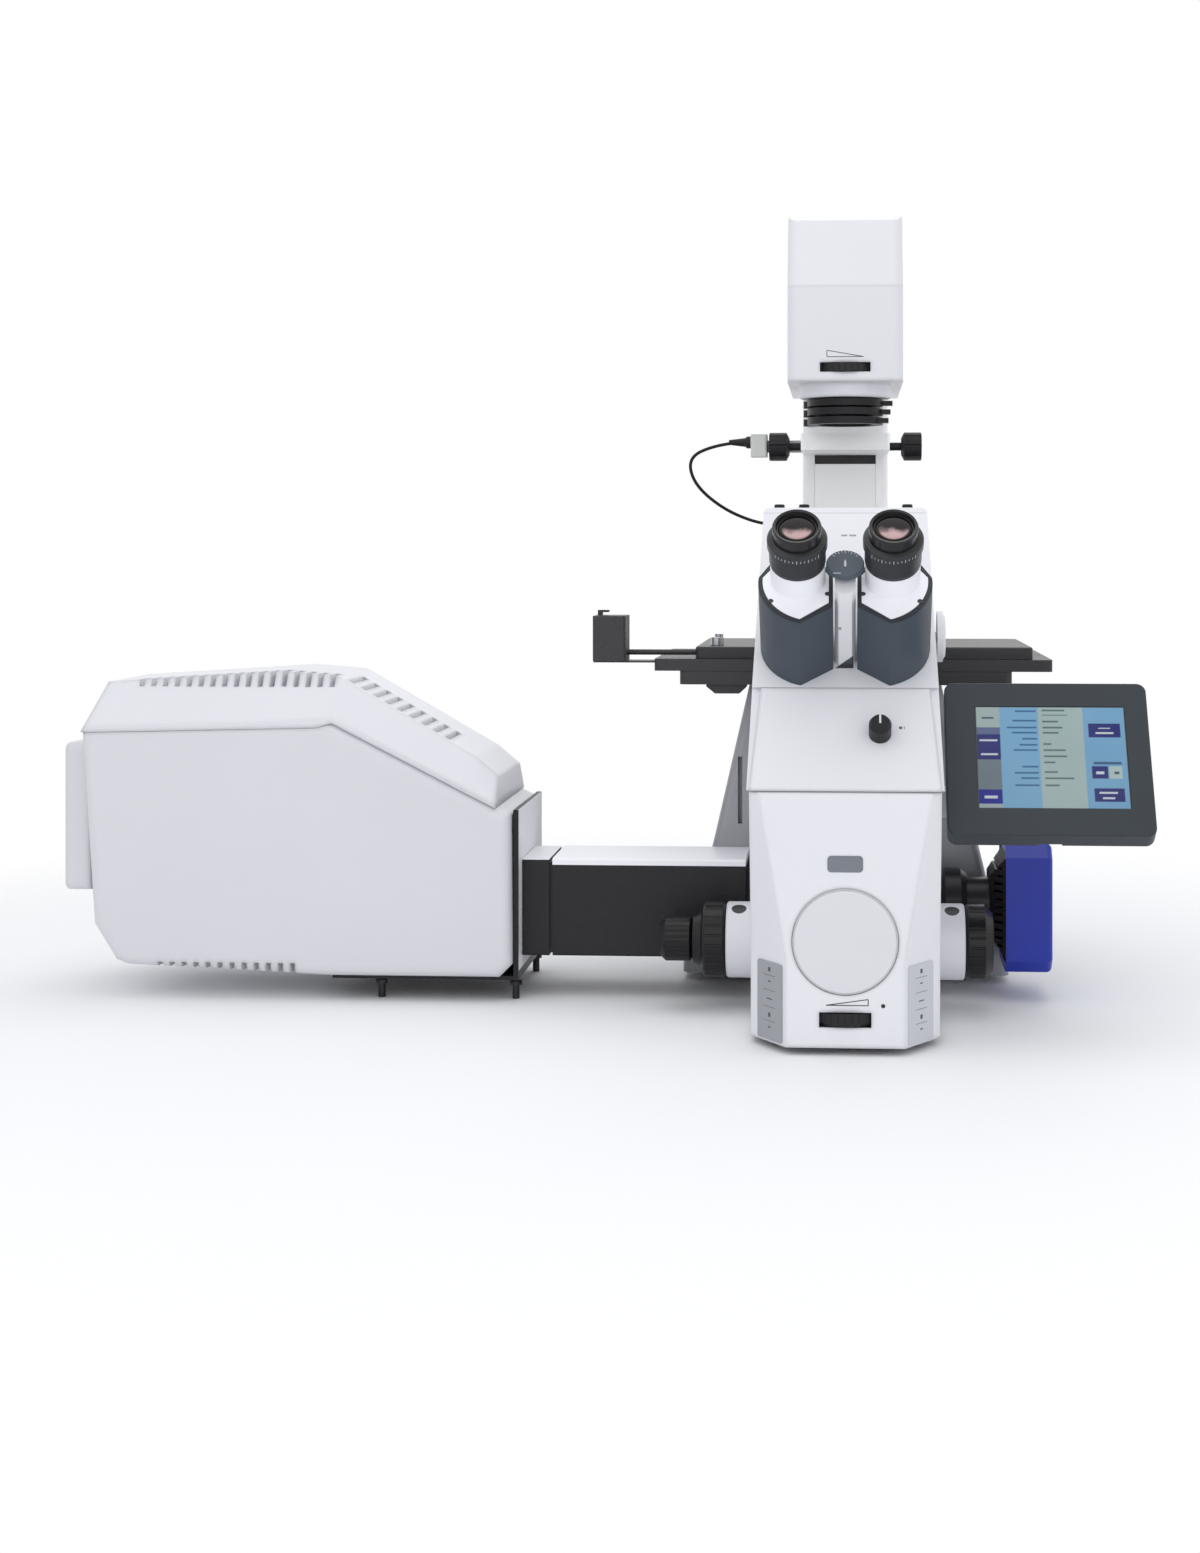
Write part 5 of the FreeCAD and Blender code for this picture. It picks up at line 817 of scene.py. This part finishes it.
class ScannerFinish(bpy.types.Operator):
    """Finish the scan head, its bracket and feet, the coupling box and the camera"""

    bl_idname = "microscope.scanner"
    bl_label = "Scan head and camera"

    def execute(self, context):
        shades = colours()
        # The top cover uses a lighter copy of the scan head colour than the shell: a painted highlight for
        # its sloping top.
        dress(enamel("scanner_enamel", tint(shades["scanner"], 1.08), edge=0.009), "scanner_cover")
        dress(enamel("scanner_lavender", shades["scanner"], edge=0.009),
              "scanner_shell", "scanner_side_plate")
        dress(moulded("bracket_black", colour(26, 26, 29), grain=700.0, marks=bracket_side),
              "scanner_bracket")
        dress(polished("feet_steel", colour(60, 60, 64), rough=0.3), "scanner_feet")
        dress(moulded("coupling_black", colour(32, 32, 35), grain=800.0, depth=0.00005, rough=0.42,
                      marks=flange_top), "coupling_body")
        # The coupling's white cover uses a lighter copy of the white enamel: painted light on its top.
        dress(enamel("coupling_enamel", tint(shades["enamel"], 1.2)), "coupling_cover")
        dress(anodised("adapter_black", colour(40, 40, 44), IN_DEPTH, rough=0.32), "camera_adapter")
        dress(anodised("fin_black", colour(30, 30, 34), IN_DEPTH, rough=0.38), "camera_heatsink")
        dress(self.shell(shades["blue"]), "camera_shell")
        return {"FINISHED"}

    def shell(self, shade):
        """Blue lacquer with a fine flake and a clear coat."""
        finish = Finish("camera_blue")
        flake = finish.cells(scale=1600.0)
        cloud = finish.noise(scale=14.0)
        base = finish.vary(cloud, shade, 0.85, 1.2)
        finish.emboss(flake, depth=0.00002)
        return finish.close(base, rough=cloud * 0.08 + 0.3, Coat_Weight=0.25, Coat_Roughness=0.15,
                            Specular_IOR_Level=0.35)


class SpecimenFinish(bpy.types.Operator):
    """Finish the specimen stage, its motor and insert, the objective turret and the reflector turret"""

    bl_idname = "microscope.specimen"
    bl_label = "Specimen stage and objectives"

    def execute(self, context):
        shades = colours()
        dress(anodised("stage_black", shades["stage"], SIDEWAYS, rough=0.42),
              "stage_frame", "stage_cross_plate")
        dress(anodised("table_black", tint(shades["stage"], 0.85), SIDEWAYS), "stage_top_plate")
        dress(moulded("motor_black", shades["stage"], rough=0.45), "stage_motor")
        dress(anodised("insert_silver", colour(120, 122, 126), SIDEWAYS, rough=0.3), "specimen_insert")
        dress(polished("lever_steel", colour(170, 172, 176)), "clamp_lever")
        dress(anodised("carrier_grey", colour(120, 121, 126), UPWARDS, rough=0.34), "nosepiece_carrier")
        dress(polished("turret_chrome", colour(150, 152, 158), rough=0.22), "objective_turret")
        dress(self.objective(), "objectives")
        dress(anodised("reflector_black", colour(44, 44, 48)), "reflector_turret")
        return {"FINISHED"}

    def objective(self):
        """Nickelled barrels with a polishing haze and a darker tip."""
        finish = Finish("objective_nickel")
        height = finish.split()[2]
        haze = finish.noise(scale=240.0, detail=3.0)
        base = finish.blend(haze, colour(168, 170, 176), colour(214, 216, 220))
        start, end = OBJECTIVE_TIP
        tip = height.step(start / PER_METRE, end / PER_METRE)
        base = finish.blend(tip, base, colour(44, 44, 48))
        finish.emboss(haze, depth=0.00001)
        return finish.close(base, rough=haze * 0.12 + 0.2, metal=1 - tip * 0.8)


class ArmFinish(bpy.types.Operator):
    """Finish the light arm, its filters, the condenser, the lamp module and the sensor pod"""

    bl_idname = "microscope.arm"
    bl_label = "Light arm and condenser"

    def execute(self, context):
        shades = colours()
        thick = sizes()["print_height"]
        dress(enamel("arm_enamel", tint(shades["enamel"], 0.96), self.crease_shade, edge=0.006), "arm_head")
        # The pillar and the condenser carriage use a lighter copy of the white enamel: painted light that
        # offsets the shade under the arm head.
        dress(enamel("pillar_enamel", tint(shades["enamel"], 1.35), self.rail), "arm_pillar")
        dress(enamel("carriage_enamel", tint(shades["enamel"], 1.35)), "condenser_carriage")
        dress(anodised("lamp_grey", colour(96, 98, 104), IN_DEPTH), "lamp_module")
        dress(anodised("filter_black", colour(24, 24, 27), rough=0.34),
              "filter_upper", "filter_middle", "filter_lower")
        dress(moulded("turret_black", colour(36, 36, 39)), "condenser_turret")
        dress(polished("condenser_nickel", colour(170, 172, 178)), "condenser_lens")
        dress(moulded("pod_grey", colour(206, 208, 204), rough=0.45, marks=self.sleeve), "sensor_pod")
        dress(polished("socket_nickel", colour(150, 152, 156), rough=0.25), "cable_socket")
        front = np.array([AXIS_X, -reach("arm_head", (0, -1, 0)), 0.0])
        signs = Shape().wedge(17, -17, 577, 583, (front, RIGHT, UPRIGHT), thick)
        signs.piece("arm_signs", ink("arm_print", colour(96, 98, 104)), "light_arm")
        return {"FINISHED"}

    def sleeve(self, finish, base):
        """The black rubber sleeve where the cable leaves the pod."""
        black = finish.split()[0] < stand(POD_SLEEVE, 0, 0)[0]
        return finish.blend(black, base, colour(24, 24, 27))

    def crease_shade(self, finish, base):
        """Painted shade: a slight darker line along the crease where the head starts to lean back."""
        height = finish.split()[2]
        line = abs(height - ARM_CREASE / PER_METRE).step(0.0022, 0.0)
        return finish.blend(line * 0.18, base, colour(150, 152, 158))

    def rail(self, finish, base):
        """Pale blue-grey metal in the recess that the condenser slides in, and painted shade, near black, in
        the slot above it.
        """
        recess = finish.box((-30.8, 142.5, 331), (30.8, 150, 483))
        base = finish.blend(recess, base, colour(232, 239, 247))
        # Painted shade: the slot under the bridge is painted near black.
        slot = finish.box((-31, 120, 484.5), (31, 160, 493.5))
        return finish.blend(slot, base, colour(20, 21, 24))


class DisplayFinish(bpy.types.Operator):
    """Finish the display's housing and draw its screen picture, in plain bars instead of words"""

    bl_idname = "microscope.display"
    bl_label = "Display"

    def execute(self, context):
        shades = colours()
        dress(moulded("bezel_slate", shades["bezel"], depth=0.00005, rough=0.42), "display_housing")
        dress(dark_glass("panel_glass", colour(12, 14, 18)), "display_glass")
        dress(moulded("dock_grey", tint(shades["enamel"], 0.7)), "dock_bracket")
        lean = math.radians(DISPLAY_LEAN)
        above = np.array([0.0, math.sin(lean), math.cos(lean)])
        out = np.cross(RIGHT, above)
        wide, high, low = 122, 94, 24
        margin, columns, rows = 0.006, 150, 116
        corner = stand(*DISPLAY_FOOT) + (low * above - wide / 2 * RIGHT) / PER_METRE
        corner += out * (reach("display_glass", out) + SCREEN_LIFT / PER_METRE - corner @ out)
        u, v = np.meshgrid(np.linspace(margin, 1 - margin, columns), np.linspace(margin, 1 - margin, rows))
        points = corner + (u[..., None] * wide * RIGHT + v[..., None] * high * above) / PER_METRE
        picture = Shape().grid(points).piece("screen_picture", self.screen(), "display")
        layer = picture.data.color_attributes.new("picture", "FLOAT_COLOR", "POINT")
        shade = self.paint(u, 1 - v)
        layer.data.foreach_set("color", np.concatenate([shade, np.ones(shade.shape[:2] + (1,))], 2).ravel())
        return {"FINISHED"}

    def screen(self):
        """Lit screen: the painted attribute shines faintly under a clear face."""
        finish = Finish("screen_light")
        picture = finish.node("ShaderNodeVertexColor", "Color", {"layer_name": "picture"})
        cloud = finish.noise(scale=18.0)
        base = finish.blend(cloud * 0.05, picture, WHITE)
        return finish.close(base, rough=0.22, Emission_Color=base, Emission_Strength=0.1,
                            Specular_IOR_Level=0.2)

    def paint(self, u, v):
        """The screen's colours. Each area is painted between its limits to the left, right, top and bottom,
        later over earlier, and rows of bars stand for the lines of words."""
        navy, white, grey = (12, 26, 118), (226, 232, 240), (66, 88, 110)
        areas = [
            ((0, 0.165, 0, 0.205), (176, 194, 192)), ((0.04, 0.12, 0.105, 0.125), grey),
            ((0, 0.165, 0.205, 0.275), (98, 112, 152)), ((0, 0.165, 0.275, 0.53), navy),
            ((0.02, 0.145, 0.325, 0.345), white), ((0.03, 0.14, 0.465, 0.485), white),
            ((0, 0.165, 0.53, 0.82), (118, 134, 142)), ((0, 0.165, 0.82, 0.955), (14, 30, 150)),
            ((0.04, 0.13, 0.88, 0.90), white), ((0, 0.165, 0.955, 1), (170, 186, 190)),
            ((0.165, 0.42, 0, 1), (130, 184, 220)), ((0.42, 0.72, 0, 1), (176, 198, 196)),
            ((0.72, 1, 0, 1), (124, 178, 216)),
            ((0.755, 0.965, 0.165, 0.30), navy), ((0.82, 0.90, 0.205, 0.22), white),
            ((0.80, 0.92, 0.25, 0.265), white),
            ((0.77, 0.96, 0.545, 0.565), (60, 96, 140)), ((0.76, 0.862, 0.59, 0.71), navy),
            ((0.785, 0.835, 0.64, 0.66), white), ((0.872, 0.96, 0.59, 0.71), (186, 208, 206)),
            ((0.905, 0.94, 0.64, 0.66), grey), ((0.765, 0.965, 0.80, 0.93), navy),
            ((0.80, 0.92, 0.835, 0.85), white), ((0.82, 0.90, 0.885, 0.90), white),
        ]
        bar = 0.016
        left = ((0.035, 0.27), (0.13, 0.25), (0.20, 0.21), (0.25, 0.24), (0.315, 0.31), (0.37, 0.29),
                (0.425, 0.25), (0.585, 0.30), (0.645, 0.25), (0.70, 0.285), (0.765, 0.25))
        areas += [((start, 0.41, top, top + bar), (58, 112, 160)) for top, start in left]
        right = ((0.03, 0.60), (0.075, 0.62), (0.14, 0.55), (0.20, 0.58), (0.25, 0.55), (0.36, 0.50),
                 (0.42, 0.59), (0.48, 0.60), (0.54, 0.52), (0.64, 0.53), (0.70, 0.64), (0.765, 0.54))
        areas += [((0.445, end, top, top + bar), (96, 122, 118)) for top, end in right]
        shade = np.ones(u.shape + (3,)) * np.array(colour(120, 170, 210))
        for (low_u, high_u, low_v, high_v), tone in areas:
            inside = (u >= low_u) & (u < high_u) & (v >= low_v) & (v < high_v)
            shade = np.where(inside[..., None], np.array(colour(*tone)), shade)
        glow = 0.58 + 0.06 * (1 - v[..., None])
        return shade * glow


class CableFinish(bpy.types.Operator):
    """Lay the sensor pod's cable as one smooth curve"""

    bl_idname = "microscope.cable"
    bl_label = "Cable"

    def execute(self, context):
        radius = sizes()["cable_radius"] / PER_METRE
        route = [(-108, 78, 503.2), (-129, 79, 501), (-156, 83, 489), (-151, 93, 463), (-124, 110, 439),
                 (-92, 134, 425), (-70, 160, 423), (-48.5, 160, 423)]
        curve = bpy.data.curves.new("pod_cable_line", "CURVE")
        curve.dimensions = "3D"
        curve.bevel_depth = radius
        curve.bevel_resolution = 5
        curve.use_fill_caps = True
        curve.resolution_u = 24
        spline = curve.splines.new("NURBS")
        spline.points.add(len(route) - 1)
        for point, place in zip(spline.points, route):
            point.co = (*stand(*place), 1.0)
        spline.order_u = 3
        spline.use_endpoint_u = True
        cable = bpy.data.objects.new("pod_cable_line", curve)
        bpy.context.scene.collection.objects.link(cable)
        curve.materials.append(rubber("cable_rubber", colour(30, 30, 33)))
        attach(cable, "light_arm")
        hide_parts("pod_cable")
        stand(*route[0])
        2 * radius
        return {"FINISHED"}


class Studio(bpy.types.Operator):
    """Set the floor, the camera of the photograph and the soft studio lights"""

    bl_idname = "microscope.studio"
    bl_label = "Studio"

    def execute(self, context):
        scene = bpy.context.scene
        scene.view_settings.view_transform = "Standard"
        self.floor(colours()["floor"])
        self.world()
        data = bpy.data.cameras.new("studio_camera")
        data.sensor_width = 36
        data.lens = 53.08
        data.shift_x = -0.065
        data.shift_y = -0.1459
        data.clip_end = 20
        camera = bpy.data.objects.new("studio_camera", data)
        camera.location = stand(*CAMERA_PLACE)
        camera.rotation_euler = (math.pi / 2, 0, math.radians(CAMERA_TURN))
        scene.collection.objects.link(camera)
        scene.camera = camera
        for name, place, size, power, aim in (
                ("key_light", (-900, -1500, 1500), 1.6, 5.0, (-150, 0, 250)),
                ("fill_light", (1300, -1300, 900), 1.8, 3.2, (0, 0, 250)),
                ("front_light", (250, -2700, 750), 2.2, 9.0, (0, 0, 420)),
                ("top_light", (-100, 100, 2100), 1.8, 9.0, (-100, 0, 200)),
                ("rear_light", (200, 1500, 1500), 1.6, 5.0, (0, 0, 300))):
            self.lamp(scene, name, stand(*place), size, power, stand(*aim))
        return {"FINISHED"}

    def lamp(self, scene, name, place, size, power, aim):
        """One square soft box that faces a point."""
        data = bpy.data.lights.new(name, "AREA")
        data.size = size
        data.energy = power
        lamp = bpy.data.objects.new(name, data)
        lamp.location = place
        from_aim = place - aim
        flat = math.hypot(from_aim[0], from_aim[1])
        lamp.rotation_euler = (math.atan2(flat, from_aim[2]), 0, math.atan2(from_aim[0], -from_aim[1]))
        scene.collection.objects.link(lamp)

    def floor(self, shade):
        """A plain round floor: the radius times the unit circle, level just under the feet. It shows white to
        the camera away from shadows."""
        steps = 64
        radius = np.array([9.0, 4.0, 1.5, 0.5, 0.02])[:, None]
        angle = np.arange(steps) * 2 * math.pi / steps
        level = np.full((len(radius), steps), -FLOOR_DROP)
        points = np.stack([radius * np.cos(angle), radius * np.sin(angle), level], 2)
        finish = Finish("floor_white")
        cloud = finish.noise(scale=3.0)
        matt = finish.shader(finish.blend(cloud * 0.04, shade, colour(246, 246, 248)), rough=0.7)
        x, y, _ = finish.split()
        away = (x * x + y * y).maths("SQRT").step(FLOOR_SHADOW, FLOOR_WHITE)
        white = finish.node("ShaderNodeEmission", "Emission", {}, {"Color": WHITE, "Strength": 1.0})
        finish.end("ShaderNodeOutputMaterial", finish.mix(finish.shown() * away, matt, white))
        shape = Shape().grid(points, closed_columns=True, last_cap=True)
        floor = shape.made("studio_floor", finish.material)

    def world(self):
        """White to the camera, to mirrors and through glass, and an even soft light on everything else."""
        world = bpy.data.worlds.new("studio_world")
        world.use_nodes = True
        sky = Nodes(world.node_tree)
        soft, plain = (
            sky.node("ShaderNodeBackground", "Background", {}, {"Color": shade, "Strength": strength})
            for shade, strength in ((SKY_TINT, SKY_STRENGTH), (WHITE, 1.0)))
        sky.end("ShaderNodeOutputWorld", sky.mix(sky.shown(), soft, plain))
        bpy.context.scene.world = world


OPERATORS = (StandFinish, FocusFinish, HeadFinish, EyepieceFinish, ScannerFinish, SpecimenFinish, ArmFinish,
             DisplayFinish, CableFinish, Studio)


class MicroscopePanel(bpy.types.Panel):
    """Lists the microscope's pieces and settings in the 3D view's sidebar."""

    bl_idname = "VIEW3D_PT_microscope"
    bl_label = "Confocal Microscope"
    bl_space_type = "VIEW_3D"
    bl_region_type = "UI"
    bl_category = "Microscope"

    def draw(self, context):
        for operator in OPERATORS:
            self.layout.operator(operator.bl_idname, text=operator.bl_label)
        for group in (context.scene.microscope_colours, context.scene.microscope_sizes):
            for name in group.__annotations__:
                self.layout.prop(group, name)


CLASSES = (MicroscopeColours, MicroscopeSizes) + OPERATORS + (MicroscopePanel,)


def register():
    """Adds the settings, operators and panel."""
    for added in CLASSES:
        bpy.utils.register_class(added)
    bpy.types.Scene.microscope_colours = bpy.props.PointerProperty(type=MicroscopeColours)
    bpy.types.Scene.microscope_sizes = bpy.props.PointerProperty(type=MicroscopeSizes)


def unregister():
    """Takes them away again."""
    del bpy.types.Scene.microscope_sizes
    del bpy.types.Scene.microscope_colours
    for added in reversed(CLASSES):
        bpy.utils.unregister_class(added)


def main():
    """Dresses the whole microscope."""
    register()
    for operator in OPERATORS:
        group, name = operator.bl_idname.split(".")
        getattr(getattr(bpy.ops, group), name)()


if __name__ == "__main__":
    main()
